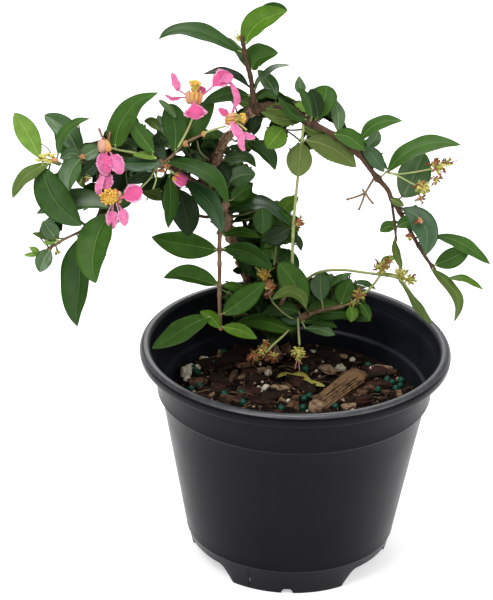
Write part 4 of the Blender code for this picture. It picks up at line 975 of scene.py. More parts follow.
def petal(nodes, width, base, gains, claw=0.40, steps=34, curl=0.5, lift=8.0, wave=0.17, waves=3.6, cells=9,
          mats=(B_PETAL, B_PETAL, B_PETAL), edge=B_PALE, stem=0.42, heap=None, serrate=0.07, early=0.72, full=0.5, lean=0.0):
    """A clawed petal with a crimped margin, placed by where it shows."""
    heap = BLOSSOM if heap is None else heap
    path = spline(nodes, steps)
    t = np.linspace(0, 1, steps)
    depth = base + np.interp(t, np.linspace(0, 1, len(gains)), gains) * MM
    spine = place(path[:, 0], path[:, 1], depth)
    tangent = unit(np.gradient(spine, axis=0))
    side = unit(np.cross(tangent, unit(spine - EYE)))
    front = np.cross(tangent, side)
    scale = depth.mean() / FOCAL
    u = np.clip((t - claw) / (1 - claw), 0, 1)
    fan = np.sin(np.pi * u ** early) ** full
    fan = fan * (1 + 0.16 * np.array([noise.noise(Vector((9.0 * q, nodes[0][0], nodes[-1][1]))) for q in t]))
    shape = np.maximum(stem * MM, width / 2 * scale * fan)
    shape[-1] = 0.12 * width / 2 * scale
    tilt = math.radians(lift) - curl / 2
    top = blade(heap, spine, side, front, shape, tilt + lean, tilt - lean, 1, mats, cells=cells, curl=curl, veins=0.0,
                vein_depth=0.0, wave=wave, phase=RNG.random(), rib=(0.06, 0.04), thick=0.22, serrate=serrate,
                edge_mat=edge, waves=waves)
    mark(densify(top, 3))
    return spine


def calyx(centre, axis, wide, tall, glands=10, heap=None):
    """A receptacle with its ring of oblong glands; wide and tall are half sizes in mm."""
    heap = BLOSSOM if heap is None else heap
    axis = unit(axis)
    a = unit(np.cross(axis, AHEAD))
    b = np.cross(axis, a)
    lump(heap, centre, (wide * 0.66 * MM, wide * 0.66 * MM, tall * 0.9 * MM), axis, B_GLAND, 3, 0.05)
    for k in range(glands):
        ang = 2 * math.pi * (k + 0.25 * RNG.random()) / glands
        out = math.cos(ang) * a + math.sin(ang) * b
        at = centre + out * wide * 0.70 * MM + axis * tall * MM * RNG.uniform(-0.12, 0.12)
        lump(heap, at, (wide * 0.25 * MM, wide * 0.23 * MM, tall * 0.80 * MM), unit(axis + out * 0.22),
             B_PEACH if k % 4 == 1 else B_GLAND, 3, 0.10, seed=k * 1.3)
    for k in range(5):
        ang = 2 * math.pi * (k + 0.5) / 5
        out = math.cos(ang) * a + math.sin(ang) * b
        lump(heap, centre + out * wide * 0.66 * MM + axis * tall * 0.85 * MM, (0.45 * MM, 0.3 * MM, 0.9 * MM),
             unit(axis + 0.6 * out), B_SEPAL, 2, 0.05, seed=k)
    mark(centre + np.array([a * x * wide * MM + b * 0 + axis * y * tall * MM
                            for x in np.linspace(-1, 1, 14) for y in np.linspace(-1, 1, 14)]) - AHEAD * wide * MM)


def stamens(centre, foot, axis, spread, count=12, size=0.62, heap=None, mat=B_ANTHER):
    heap = BLOSSOM if heap is None else heap
    axis = unit(axis)
    a = unit(np.cross(axis, AHEAD))
    b = np.cross(axis, a)
    for k in range(count):
        ang = 2.4 * k
        out = math.cos(ang) * a + math.sin(ang) * b
        far = spread * MM * math.sqrt((k + 0.5) / count)
        at = centre + out * far + axis * MM * RNG.uniform(-0.9, 0.6)
        tube(heap, spline([foot + out * 0.5 * MM, (foot + at) / 2 + out * 0.3 * MM, at], 7), 0.16 * MM, 6, B_SEPAL)
        lump(heap, at, (size * 0.85 * MM, size * 0.75 * MM, size * 1.2 * MM), unit(axis + out * RNG.uniform(-0.6, 0.9)), mat, 3,
             0.10, seed=k * 0.7)
    mark(centre + np.array([a * x * spread * MM + axis * y * spread * MM
                            for x in np.linspace(-1.2, 1.2, 12) for y in np.linspace(-1.2, 1.2, 12)]) - AHEAD * MM)


def stub(points_px, depths, r0, r1, mat, heap=None, sides=8, steps=16):
    heap = BLOSSOM if heap is None else heap
    p = spline(place([q[0] for q in points_px], [q[1] for q in points_px], np.asarray(depths, float)), steps)
    tube(heap, p, np.linspace(r0, r1, steps) * MM, sides, mat)
    mark(p)
    return p


# the flower above the left bough, seen from the side of its calyx
d1 = near_depth(193, 118, ["stalk_flower_one"])
stub([(193, 119), (193.6, 112), (194.2, 105)], [d1, d1 - 0.5 * MM, d1 - 1 * MM], 0.52, 0.75, B_GREEN)
petal([(198, 98), (204, 94), (211, 88), (217, 82), (222, 78), (229, 72)], 19, d1, [1.5, 0, -1.5, -2, -2, -1], claw=0.46, lift=4,
      mats=(B_DEEP, B_PETAL, B_DEEP), early=1.25, full=0.75)
petal([(219, 82), (225, 79), (233, 75.5)], 11, d1, [-2.5, -3, -1], claw=0.10, lift=16, early=1.2, full=0.8, stem=0.8,
      edge=B_PETAL)
petal([(196, 94), (200, 91), (206, 89.5)], 9, d1 + 2 * MM, [0, 2, 3], claw=0.25, mats=(B_DEEP, B_DEEP, B_DEEP))
petal([(190, 97), (184, 93.5), (178.3, 89.5), (175, 82), (171.8, 72.8)], 10, d1 + 1 * MM, [0, 0, -1, -1.5, -2], claw=0.40, lift=28, lean=0.3)
petal([(189, 98), (181, 97.5), (173, 99), (165, 95)], 5.5, d1, [0, -1, -2, -3], claw=0.35, lift=40, wave=0.3,
      mats=(B_PETAL, B_DEEP, B_PETAL))
calyx(place(194, 98, d1 - 1 * MM), -UP * -1.0 + 0.05 * RIGHT, 4.4, 3.7, 10)
stamens(place(195.2, 83, d1 - 0.5 * MM), place(194.6, 92, d1 - 0.5 * MM), UP, 2.5, 24, 0.78)
lump(BLOSSOM, place(195.0, 86, d1 + 0.4 * MM), (2.2 * MM, 2.1 * MM, 3.0 * MM), UP, B_ANTHER, 3, 0.16, seed=7.0, scale=2.4)
petal([(193.8, 100.5), (194.4, 105), (195.2, 112), (195.6, 119.5)], 22.5, d1 - 5.2 * MM, [0, -0.6, -0.6, 0.6], claw=0.06, lift=4,
      mats=(B_DEEP, B_DEEP, B_DEEP), early=1.55, full=0.85)

# the flower in front of the upper bough
d2 = near_depth(226, 126, ["stalk_flower_two"], -2)
petal([(231, 118), (234, 108), (237, 100), (235, 91), (230, 82)], 7.5, d2 + 1 * MM, [0, 0, -1, -2, -2], claw=0.30, lift=20, stem=0.7,
      mats=(B_PETAL, B_DEEP, B_PETAL), edge=B_PETAL)
petal([(230, 118), (226, 114), (218.5, 108.5)], 7.5, d2 + 1 * MM, [0, 1, 2], claw=0.2, mats=(B_DEEP, B_DEEP, B_DEEP), edge=B_PETAL)
calyx(place(231, 119.5, d2), RIGHT + 0.1 * UP - 0.25 * AHEAD, 3.3, 3.4, 9)
stamens(place(243.5, 117.6, d2 - 1.5 * MM), place(236, 118.5, d2 - 0.5 * MM), RIGHT + 0.2 * UP, 2.3, 20, 0.70)
lump(BLOSSOM, place(242.5, 118.2, d2 - 0.2 * MM), (1.7 * MM, 1.6 * MM, 2.0 * MM), RIGHT, B_ANTHER, 3, 0.16, seed=8.0, scale=2.4)
stub([(237, 122), (243, 127), (246.5, 130)], [d2, d2 - 1 * MM, d2 - 1 * MM], 0.35, 0.55, B_SEPAL)
petal([(231, 122), (235, 128.5), (240, 136), (242, 144), (244, 151)], 10, d2 - 3 * MM, [0, -1, -1.5, -1.5, -1], claw=0.08,
      lift=14, early=0.58, full=0.8, stem=0.9, mats=(B_PETAL, B_DEEP, B_PETAL))
petal([(237, 129), (243, 134), (249, 136.5), (255.5, 137.5)], 7.5, d2 - 2 * MM, [0, -1, -1, 0], claw=0.28, lift=12)
petal([(239, 133), (240.5, 141), (241.5, 149.5)], 6.5, d2 - 1 * MM, [0, -0.5, 0], claw=0.3, lift=14)

# the hanging flower on the left and the one above it
d3 = near_depth(108, 147.5, ["stalk_upper_left"], -2)
petal([(104, 150), (102.5, 157), (103, 166), (107, 176)], 13, d3 + 0.5 * MM, [0, -1, -1.5, -1], claw=0.12, lift=10, early=0.8)
petal([(109, 150), (113, 157), (117, 164), (121.5, 174)], 15.5, d3 + 0.2 * MM, [0, -1.6, -2.2, -1.8], claw=0.22, lift=8)
petal([(106, 152), (107, 162), (109, 173)], 10, d3 - 1.2 * MM, [0, -1, -1], claw=0.15, mats=(B_DEEP, B_DEEP, B_DEEP), edge=B_PETAL)
lump(BLOSSOM, place(102.2, 145, d3), (2.3 * MM, 2.3 * MM, 3.6 * MM), UP + 0.1 * RIGHT, B_PEACH, 3, 0.12, seed=2.0)
lump(BLOSSOM, place(107.4, 146, d3 + 0.3 * MM), (1.8 * MM, 1.7 * MM, 3.2 * MM), UP - 0.15 * RIGHT, B_GLAND, 3, 0.10, seed=2.6)
lump(BLOSSOM, place(109.5, 147.5, d3 - 0.6 * MM), (1.0 * MM, 1.0 * MM, 2.0 * MM), UP - 0.1 * RIGHT, B_GLAND, 3, 0.08, seed=3.0)
lump(BLOSSOM, place(100.8, 147.5, d3 - 1.4 * MM), (1.1 * MM, 1.0 * MM, 2.2 * MM), UP + 0.1 * RIGHT, B_PEACH, 3, 0.08, seed=4.0)
stub([(104.5, 141), (101.5, 135), (99, 128.5)], [d3 - 1 * MM, d3 - 1.5 * MM, d3 - 1.5 * MM], 0.50, 0.62, B_STALK)
stub([(108, 141), (109, 137), (110, 132)], [d3, d3, d3 + 0.5 * MM], 0.45, 0.55, B_STALK)
d4 = d3 - 3 * MM
stub([(107, 150), (106.5, 166), (108, 182), (110.5, 192)], [d3 + 1.5 * MM, d3 + 2.5 * MM, d3 + 1 * MM, d4 + 1 * MM], 0.5, 0.45, B_STALK)
petal([(108.5, 192), (106.5, 184), (105.5, 174), (106.5, 168.5)], 15, d4 + 1.5 * MM, [0, 1, 2, 2], claw=0.15, lift=6,
      mats=(B_PETAL, B_DEEP, B_PETAL))
petal([(100, 197), (98.5, 189), (100.5, 181), (104, 176)], 8, d4, [0, -1, 0, 1], claw=0.12, lift=14)
petal([(118, 198), (124, 197), (132, 194), (141.5, 188.5)], 20, d4 - 1 * MM, [0, -1.5, -2.5, -2], claw=0.22, lift=6,
      mats=(B_DEEP, B_PETAL, B_DEEP), early=1.1, full=0.6)
petal([(113, 203), (112.5, 210), (112, 219), (112.5, 229)], 13, d4, [0, -1, -1.5, -1], claw=0.32, lift=8,
      mats=(B_PETAL, B_PETAL, B_PETAL))
petal([(117, 202), (120.5, 208), (123, 214), (125, 226)], 11.5, d4 + 0.5 * MM, [0, -1, -1.5, -1], claw=0.34, lift=8)
calyx(place(114.5, 196.5, d4 + 0.5 * MM), AHEAD * -0.75 - UP * 0.5, 4.2, 2.6, 10)
stamens(place(108.5, 197.0, d4 - 4.2 * MM), place(111, 197, d4 - 1.5 * MM), -AHEAD - 0.5 * UP, 4.0, 34, 0.78)
lump(BLOSSOM, place(108.5, 197.5, d4 - 2.6 * MM), (3.1 * MM, 2.6 * MM, 1.8 * MM), -AHEAD - 0.4 * UP, B_ANTHER, 3, 0.16, seed=9.0, scale=2.4)
stub([(112, 203), (110, 208), (107, 213)], [d4 - 2 * MM, d4 - 3 * MM, d4 - 3 * MM], 0.22, 0.18, B_PALE)
stub([(116, 203), (118, 209), (119, 215)], [d4 - 2 * MM, d4 - 3 * MM, d4 - 3 * MM], 0.22, 0.18, B_PALE)

# the round bud under the node
d5 = near_depth(170, 166, LN, -3)
stub([(166, 166), (170, 170), (174.5, 174)], [d5 + 3 * MM, d5 + 1 * MM, d5], 0.5, 0.6, B_GREEN)
b5 = place(181.5, 180.5, d5)
lump(BLOSSOM, b5, (2.9 * MM, 2.8 * MM, 3.1 * MM), RIGHT - 0.6 * UP, B_DEEP, 3, 0.10, seed=5.0)
# the bud's petal lumps; the one pale lump is a painted highlight
for k in range(5):
    ang = 2 * math.pi * k / 5 + 0.4
    way = unit(RIGHT * 0.8 - UP * 0.55)
    a5 = unit(np.cross(way, AHEAD))
    out = math.cos(ang) * a5 + math.sin(ang) * np.cross(way, a5)
    lump(BLOSSOM, b5 + out * 2.4 * MM - way * 0.6 * MM, (1.3 * MM, 0.55 * MM, 2.9 * MM), unit(way + out * 0.1),
         B_PALE if k == 2 else B_PETAL if k == 4 else B_DEEP, 3, 0.06, seed=k)
for k in range(6):
    ang = 2 * math.pi * k / 6
    out = math.cos(ang) * a5 + math.sin(ang) * np.cross(way, a5)
    lump(BLOSSOM, b5 + out * 1.9 * MM - way * 3.0 * MM, (0.85 * MM, 0.75 * MM, 1.6 * MM), unit(way + out * 0.5), B_GLAND, 3, 0.06,
         seed=k)
mark(b5 + np.array([RIGHT * x * 3.4 * MM + UP * y * 3.4 * MM for x in np.linspace(-1, 1, 10) for y in np.linspace(-1, 1, 10)])
     - AHEAD * 3 * MM)


# ------------------------------------------------------------ spent clusters
def spent(x, y, reach, depth, count=14, brown=0.5, dry=4, threads=3, fall=0.0, green=True, size=(0.55, 1.15), axis=None,
          kinds=(B_SPENT, B_SPENT, B_SPENT, B_SEPAL)):
    """A spent flower: swollen glands, withered petals and dry threads."""
    way = unit(-UP if axis is None else axis)
    mid = place(x, y, depth)
    scale = depth / FOCAL
    lump(SPENT, mid, (reach * 0.42 * scale, reach * 0.40 * scale, reach * 0.42 * scale), way, kinds[0] if green else B_BROWN, 3, 0.14,
         seed=x)
    for k in range(count):
        ang, far = 2.4 * k + 0.5 * RNG.random(), math.sqrt((k + 0.5) / count)
        out = math.cos(ang) * RIGHT + math.sin(ang) * UP
        at = mid + out * far * reach * 0.80 * scale - AHEAD * (1 - far ** 2) * reach * 0.55 * scale \
            + AHEAD * RNG.uniform(-0.5, 0.5) * MM
        r = RNG.uniform(*size) * MM
        kind = B_BROWN if RNG.random() < brown * 0.75 else kinds[int(RNG.integers(len(kinds)))]
        lump(SPENT, at, (r * 0.75, r * 0.6, r * 1.25), unit(out + way * 0.4 + 0.3 * RNG.normal(size=3)), kind, 2, 0.22, seed=k + x)
    for k in range(dry):
        ang = RNG.uniform(0, 2 * math.pi)
        out = unit(math.cos(ang) * RIGHT + math.sin(ang) * UP + way * (0.7 + fall))
        p0 = mid + out * reach * 0.4 * scale
        p2 = mid + out * reach * RNG.uniform(0.95, 1.35) * scale + RNG.normal(size=3) * 0.4 * MM
        n = 12
        spine = spline([p0, (p0 + p2) / 2 + RNG.normal(size=3) * 0.6 * MM, p2], n)
        tangent = unit(np.gradient(spine, axis=0))
        side = unit(np.cross(tangent, AHEAD + 0.4 * RNG.normal(size=3)))
        u = np.clip((np.linspace(0, 1, n) - 0.2) / 0.8, 0, 1)
        half = np.maximum(0.22 * MM, RNG.uniform(0.8, 1.3) * MM * np.sin(np.pi * u ** 0.8) ** 0.7)
        blade(SPENT, spine, side, np.cross(tangent, side), half, 0.5, 0.9, 1, (B_BROWN, B_BROWN, B_BROWN), cells=4, curl=1.1,
              veins=0, vein_depth=0.0, wave=0.25, phase=RNG.random(), rib=(0.3, 0.1), thick=0.16, waves=3.0)
    for k in range(threads):
        out = unit(way + 0.55 * RNG.normal(size=3))
        tube(SPENT, spline([mid + out * reach * 0.3 * scale, mid + out * reach * 0.9 * scale,
                            mid + out * reach * 1.35 * scale + RNG.normal(size=3) * 0.3 * MM], 8),
             np.linspace(0.16, 0.10, 8) * MM, 6, B_SEPAL if green else B_BROWN)
    mark(mid + np.array([RIGHT * a * reach * scale + UP * b * reach * scale for a in np.linspace(-1, 1, 12)
                         for b in np.linspace(-1, 1, 12) if a * a + b * b < 1.1]) - AHEAD * reach * 0.5 * scale)


RT = ["arch_falling", "arch_tip"]
view_stalk([(385, 172), (398, 174), (415, 172), (431, 169)], [0, -2, -4, -5], (0.5, 0.42), W_GREEN, on=RT, off=-1, name="stalk_spent_far")
view_stalk([(385, 172), (398, 176), (411, 183), (420, 187)], [0, -3, -5, -6], (0.45, 0.38), W_GREEN, on=RT, off=-1)
dr = near_depth(385, 172, RT)
spent(438, 167.5, 9.5, dr - 6 * MM, 20, 0.5, 5, 3, axis=RIGHT + 0.2 * UP)
spent(447, 163, 5.5, dr - 6 * MM, 10, 0.7, 3, 3, axis=RIGHT + 0.5 * UP, size=(0.4, 0.8))
stub([(445, 164), (452, 162), (459, 159.5)], [dr - 6 * MM] * 3, 0.35, 0.2, B_BROWN, heap=SPENT)
spent(436, 179.5, 6.0, dr - 5.5 * MM, 10, 0.85, 4, 3, size=(0.4, 0.8))
spent(423, 187.5, 8.5, dr - 7 * MM, 20, 0.15, 2, 0, kinds=(B_SEPAL, B_SPENT, B_SEPAL, B_SPENT))
spent(420.5, 199, 5.0, dr - 7 * MM, 7, 1.0, 4, 3, green=False, size=(0.4, 0.8))

da = near_depth(385, 270, ["arc_stem"], -3)
spent(382, 268, 8.5, da, 18, 0.62, 4, 2, axis=UP - 0.3 * RIGHT)
spent(389, 262, 5.5, da, 10, 0.55, 3, 3, axis=UP + 0.2 * RIGHT, size=(0.4, 0.85))
spent(401, 273, 7.0, da - 1 * MM, 16, 0.18, 2, 2, axis=UP + RIGHT)
spent(409.5, 279.5, 6.0, da - 1 * MM, 14, 0.12, 1, 1, axis=RIGHT - 0.3 * UP)
view_stalk([(375, 272), (388, 273.5), (400, 276)], [0, -1, -2], (0.6, 0.5), W_GREEN, on="arc_stem", off=0)
view_stalk([(359, 300), (366, 292), (374, 284), (381, 274)], [0, -1, -2, -3], (0.80, 0.62), W_GREEN, on="low_branch", off=-1)
dl = near_depth(345, 305, ["low_branch"], -4)
spent(359, 295.5, 7.0, dl, 16, 0.45, 4, 2, axis=UP + 0.3 * RIGHT)
spent(353, 303, 4.5, dl, 8, 0.4, 1, 1, size=(0.4, 0.8))
view_stalk([(345, 309), (351, 303), (357, 299)], [0, -1, -2], (0.5, 0.4), W_GREEN, on="low_branch", off=-3)
du = near_depth(299, 224, ["upright_stem"], -1)
spent(299.5, 222.5, 5.5, du, 14, 1.0, 3, 1, green=False, axis=RIGHT - 0.3 * UP, size=(0.5, 1.0))
spent(410, 236, 4.5, near_depth(410, 236, ["arch_tip"], -4), 10, 0.9, 2, 1, green=False, size=(0.4, 0.9))
spent(420.5, 220.5, 3.2, near_depth(412, 225, ["arch_tip"], -11), 7, 0.3, 2, 2, size=(0.35, 0.7), kinds=(B_PEACH, B_GLAND))
# the cluster over the middle of the pot and the two that hang into it
db = near_depth(293, 319, ["low_branch"], -7)
stub([(293, 319), (286, 315), (279, 309), (272, 301), (269, 294)], [db + 3 * MM, db, db - 4 * MM, db - 7 * MM, db - 8.5 * MM], 0.42, 0.48,
     B_GREEN, steps=24)
# the top cluster and its threads take the paler straw: painted light in the shade of the leaves
spent(264, 273.5, 7.5, db - 10 * MM, 28, 0.0, 0, 0, size=(0.55, 1.05), axis=UP, kinds=(B_STRAW_PAINTED_LIGHT, B_ANTHER, B_STRAW_PAINTED_LIGHT, B_SEPAL))
spent(270, 285.5, 6.5, db - 9 * MM, 18, 0.12, 3, 1, size=(0.6, 1.1), axis=UP, kinds=(B_GLAND, B_STRAW_PAINTED_LIGHT, B_GLAND, B_PEACH))
spent(268, 294, 4.5, db - 8 * MM, 9, 0.7, 2, 1, kinds=(B_PEACH, B_GLAND))
for tip in ((259.5, 262), (255, 267), (268, 262.5), (275, 267.5)):
    stub([(264 + (tip[0] - 264) * 0.3, 274 + (tip[1] - 274) * 0.3), tip], [db - 11 * MM, db - 11 * MM], 0.26, 0.18, B_STRAW_PAINTED_LIGHT, heap=SPENT, steps=6)
dh = near_depth(298, 319, ["low_branch"], -3)
stub([(298, 318), (298.5, 330), (299.5, 345)], [dh, dh - 2 * MM, dh - 3 * MM], 0.50, 0.62, B_GREEN)
spent(298, 353, 8.5, dh - 3 * MM, 24, 0.14, 1, 0, size=(0.6, 1.15), kinds=(B_SEPAL, B_SPENT, B_SEPAL, B_SEPAL))
for tip in ((295, 369), (299.5, 371), (302, 364)):
    stub([(298, 358), ((298 + tip[0]) / 2, 362), tip], [dh - 4 * MM] * 3, 0.24, 0.15, B_PEACH, heap=SPENT, steps=8)
stub([(289, 330), (282, 337), (273, 345), (266, 353)], [dh + 1 * MM, dh - 2 * MM, dh - 4 * MM, dh - 4 * MM], 0.52, 0.62, B_GREEN)
spent(262, 351, 7.5, dh - 4 * MM, 18, 0.25, 3, 3, size=(0.6, 1.15))
spent(254, 356.5, 6.5, dh - 3.5 * MM, 14, 1.0, 7, 3, green=False)
spent(273, 356, 6.0, dh - 3 * MM, 12, 1.0, 6, 3, green=False)
spent(266, 343, 4.5, dh - 3 * MM, 8, 0.8, 4, 2, size=(0.4, 0.9))
# buds and dry bits on the woody parts
spent(57.5, 251.5, 3.5, near_depth(57, 250, [LOWT], -1), 8, 0.8, 1, 2, size=(0.35, 0.8))
spent(88, 178, 4.5, near_depth(88, 172, OUT, -1), 10, 0.6, 2, 1, size=(0.4, 0.9))
dt = near_depth(240, 44, ["leader"], -1)
spent(239, 38, 4.0, dt, 9, 0.55, 2, 3, size=(0.4, 0.8), axis=UP - 0.2 * RIGHT)
for tip in ((236, 29), (241.5, 30), (233.5, 34)):
    stub([(239, 41), ((239 + tip[0]) / 2, (41 + tip[1]) / 2), tip], [dt] * 3, 0.40, 0.20, B_GREEN, heap=SPENT, steps=8)
# the pale scales and stubs at the tip of the left bough
dn = near_depth(50, 160, OUT, -3)
for k, (x, y, r) in enumerate(((42, 156, 1.5), (47, 154.5, 1.3), (45, 160, 1.6), (52, 155.5, 1.4), (55, 160, 1.5), (50, 162, 1.4),
                               (38, 160, 1.2))):
    lump(SPENT, place(x, y, dn + (k % 3) * 0.4 * MM), (r * MM * 0.7, r * MM * 0.6, r * MM * 1.25),
         RIGHT + (0.5 if k % 2 else -0.2) * UP, B_GLAND if k == 4 else B_SEPAL, 3, 0.16, seed=k)
# orange nodes where stems fork
for k, (x, y, names, r, off) in enumerate(((82, 157, OUT, 1.3, -4), (186, 143.5, "stalk_node", 1.5, -1),
                                           (166, 165, LN, 1.9, -1), (161, 170.5, LN, 1.5, 0), (203, 134, "stalk_node", 1.3, 0),
                                           (220.3, 328.5, ["hanging_twig"], 1.0, -0.6))):
    names = [names] if isinstance(names, str) else names
    for j in range(4):
        out = unit(RNG.normal(size=3))
        lump(TWIGS, place(x, y, near_depth(x, y, names, off)) + out * r * 0.45 * MM,
             (r * 0.62 * MM, r * 0.6 * MM, r * 0.95 * MM), unit(out + RIGHT), W_NODE, 3, 0.16, seed=k + j)


# ------------------------------------------------------------------ limbs
def limb_mesh(name):
    foot, end, kind, route = LIMBS[name]
    length = np.linalg.norm(np.diff(np.array(route), axis=0), axis=1).sum()
    steps = int(max(24, length / 0.42))
    sides = 26 if foot > 1.4 else 20 if foot > 1.0 else 14
    p = spline(np.array(route) * MM, steps)
    share = np.linspace(0, 1, steps)
    radius = foot + (end - foot) * share
    run = share * length
    if name == "trunk":
        radius = radius + 1.7 * np.exp(-run / 3.2)
        p[0] = p[0] - unit(p[1] - p[0]) * 0.6 * MM
    for index in SWELLINGS.get(name, []):
        at = index / (len(CARRIERS[name][0]) - 1) * length
        radius = radius + (0.22 if kind in (W_BARK, W_RED) else 0.14) * foot * np.exp(-((run - at) / 1.1) ** 2)
    for at, add, spread in KNOBS.get(name, []):
        radius = radius + add * np.exp(-((run - at * length) / spread) ** 2)
    ang = np.linspace(0, 2 * math.pi, sides, endpoint=False)
    relief = np.ones((steps, sides))
    rough = {W_BARK: 0.20, W_RED: 0.07, W_TAN: 0.06, W_GREEN: 0.025}[kind]
    seed = sum(ord(c) for c in name) * 0.37
    for i in range(steps):
        for j in range(sides):
            x, y = math.cos(ang[j]), math.sin(ang[j])
            s = run[i]
            big = noise.noise(Vector((x * 0.9 + seed, y * 0.9, s * 0.16)))
            fine = noise.noise(Vector((x * 2.6, y * 2.6 + seed, s * 0.75)))
            cell = noise.noise(Vector((x * 5.0 + seed, y * 5.0, s * 1.7)))
            crack = -abs(noise.noise(Vector((x * 3.3, y * 3.3 - seed, s * 0.33))))
            relief[i, j] = 1 + rough * (1.3 * big + 0.40 * fine + 0.25 * cell + 0.9 * crack + 0.12)
    heap = Heap()
    tube(heap, p, radius * MM, sides, 0, relief)
    if kind in (W_BARK, W_RED, W_TAN):
        t, a, b = frames_along(p)
        count = int(length * (1.9 if kind == W_BARK else 1.0))
        for _ in range(count):
            i = int(RNG.integers(1, steps - 1))
            turn = RNG.random() * 2 * math.pi
            out = math.cos(turn) * a[i] + math.sin(turn) * b[i]
            r = radius[i] * MM * 1.0
            if kind == W_BARK:
                size = (RNG.uniform(0.12, 0.34) * MM, 0.12 * MM, RNG.uniform(0.5, 1.9) * MM)
            else:
                size = (RNG.uniform(0.10, 0.2) * MM, 0.09 * MM, RNG.uniform(0.12, 0.34) * MM)
            flake(heap, p[i] + out * r, out, t[i], size, 1)
    skin = {W_BARK: BARK, W_RED: BARK_RED, W_TAN: STEM_TAN, W_GREEN: STEM_GREEN}[kind]
    obj = heap.build("bark_" + name, [skin, FLAKE if kind == W_BARK else LENTICEL])
    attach(obj, "root")
    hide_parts(name)
    mark(p)
    return obj


def flake(heap, at, out, along, size, mat):
    """A small lifted scale lying on a limb."""
    across = unit(np.cross(along, out))
    tilt = RNG.uniform(-0.4, 0.4)
    u = unit(along * math.cos(tilt) + across * math.sin(tilt))
    w = unit(np.cross(out, u))
    k = 7
    ang = np.linspace(0, 2 * math.pi, k, endpoint=False) + RNG.random()
    ring = 1 + RNG.uniform(-0.25, 0.25, k)
    rim = at + (np.cos(ang) * ring)[:, None] * u * size[2] + (np.sin(ang) * ring)[:, None] * w * size[0]
    verts = np.vstack([rim + out * size[1] * 0.7, rim - out * size[1], at + out * size[1] * 1.6, at - out * size[1]])
    i = np.arange(k)
    n = (i + 1) % k
    tris = np.vstack([np.stack([np.full(k, 2 * k), i, n], -1), np.stack([np.full(k, 2 * k + 1), k + n, k + i], -1),
                      np.stack([i, k + i, n], -1), np.stack([n, k + i, k + n], -1)])
    heap.add(verts, tris, mat)


# knots and gnarled swellings: (share of the length, extra radius mm, spread mm)
KNOBS = {
    "trunk": [(0.12, 0.5, 2.0), (0.35, 0.4, 2.5), (0.62, 0.5, 2.0), (0.8, 0.7, 2.2), (0.93, 0.8, 3.0)],
    "bough_upper": [(0.02, 0.9, 3.0), (0.14, 0.7, 2.5), (0.36, 1.9, 3.4), (0.50, 0.5, 2.6), (0.66, 0.4, 4.0), (0.82, 0.6, 3.0), (0.97, 1.4, 3.2)],
    "leader": [(0.12, 0.5, 2.0), (0.45, 0.25, 1.6), (0.78, 0.3, 1.6)],
    "arch_rising": [(0.05, 1.4, 3.0), (0.16, 0.8, 2.4), (0.62, 0.35, 2.0)],
    "bough_left": [(0.98, 0.7, 2.2)],
    "bough_left_outer": [(0.02, 0.9, 2.4), (0.6, 0.3, 1.5), (0.97, 0.5, 1.6)],
    "low_branch": [(0.62, 0.5, 1.8), (0.98, 0.4, 1.6)],
    "hanging_twig": [(0.45, 0.25, 1.4), (0.72, 0.25, 1.4), (0.99, 0.3, 1.3)],
}
LIMB_OBJECTS = {name: limb_mesh(name) for name in LIMBS}
# leaves: one joined piece for each part of the crown
MASS_GROUPS = {
    "left": ["leaves_left_tip", "leaves_left_inner", "leaves_left_low", "leaves_left_low_tip", "leaves_left_arch",
             "leaves_node_upper", "leaves_node_lower", "leaves_back_left"],
    "top": ["leaves_top_left", "leaves_top", "leaves_top_right", "leaves_top_inner"],
    "mid": ["leaves_centre_upper", "leaves_centre", "leaves_hanging_upper", "leaves_hanging_middle",
            "leaves_back_middle"],
    "right": ["leaves_arch_start", "leaves_arch_under_left", "leaves_arch_under_right", "leaves_arch_crest",
              "leaves_right_upper", "leaves_right_mid", "leaves_right_tip", "leaves_right_low",
              "leaves_back_right"],
    "low": ["leaves_hanging_low", "leaves_centre_low", "leaves_low_right", "leaves_back_low"],
}

# --------------------------------------------- leaves grown by a seeded rule
def grown(mask, r):
    out = mask.copy()
    for dy in range(-r, r + 1):
        for dx in range(-r, r + 1):
            if dx * dx + dy * dy <= r * r + 0.5:
                out |= np.roll(np.roll(mask, dy, 0), dx, 1)
    return out


def closed_up(mask, r):
    return ~grown(~grown(mask, r), r)


# thick parts of the crown in the view: the two ends of each and half its width
THICK = [(76, 152, 112, 152, 5), (92, 164, 150, 167, 6), (118, 158, 165, 158, 8), (112, 178, 124, 190, 7), (122, 142, 160, 150, 7),
         (152, 138, 196, 150, 9), (168, 184, 188, 214, 12), (208, 138, 222, 150, 6), (204, 168, 224, 196, 8),
         (236, 210, 290, 216, 7), (234, 244, 280, 268, 12), (268, 236, 292, 250, 9), (294, 218, 299, 230, 4), (230, 292, 300, 314, 10),
         (304, 304, 352, 312, 9), (292, 284, 297, 268, 8), (262, 102, 328, 116, 8), (314, 98, 330, 94, 6), (250, 100, 262, 112, 6),
         (84, 190, 112, 196, 7), (228, 228, 262, 232, 6), (236, 186, 246, 200, 8), (352, 308, 368, 312, 6), (240, 320, 290, 330, 8),
         (178, 196, 186, 226, 8), (410, 172, 420, 182, 9)]
ALLOW = closed_up(TAKEN, 2)
rows, cols = np.mgrid[0:ALLOW.shape[0], 0:ALLOW.shape[1]]
for x0, y0, x1, y1, wide in THICK:
    px, py = cols - 20 - x0, rows - 20 - y0
    dx, dy = x1 - x0, y1 - y0
    along = np.clip((px * dx + py * dy) / max(1e-9, dx * dx + dy * dy), 0, 1)
    ALLOW |= np.hypot(px - along * dx, py - along * dy) <= wide
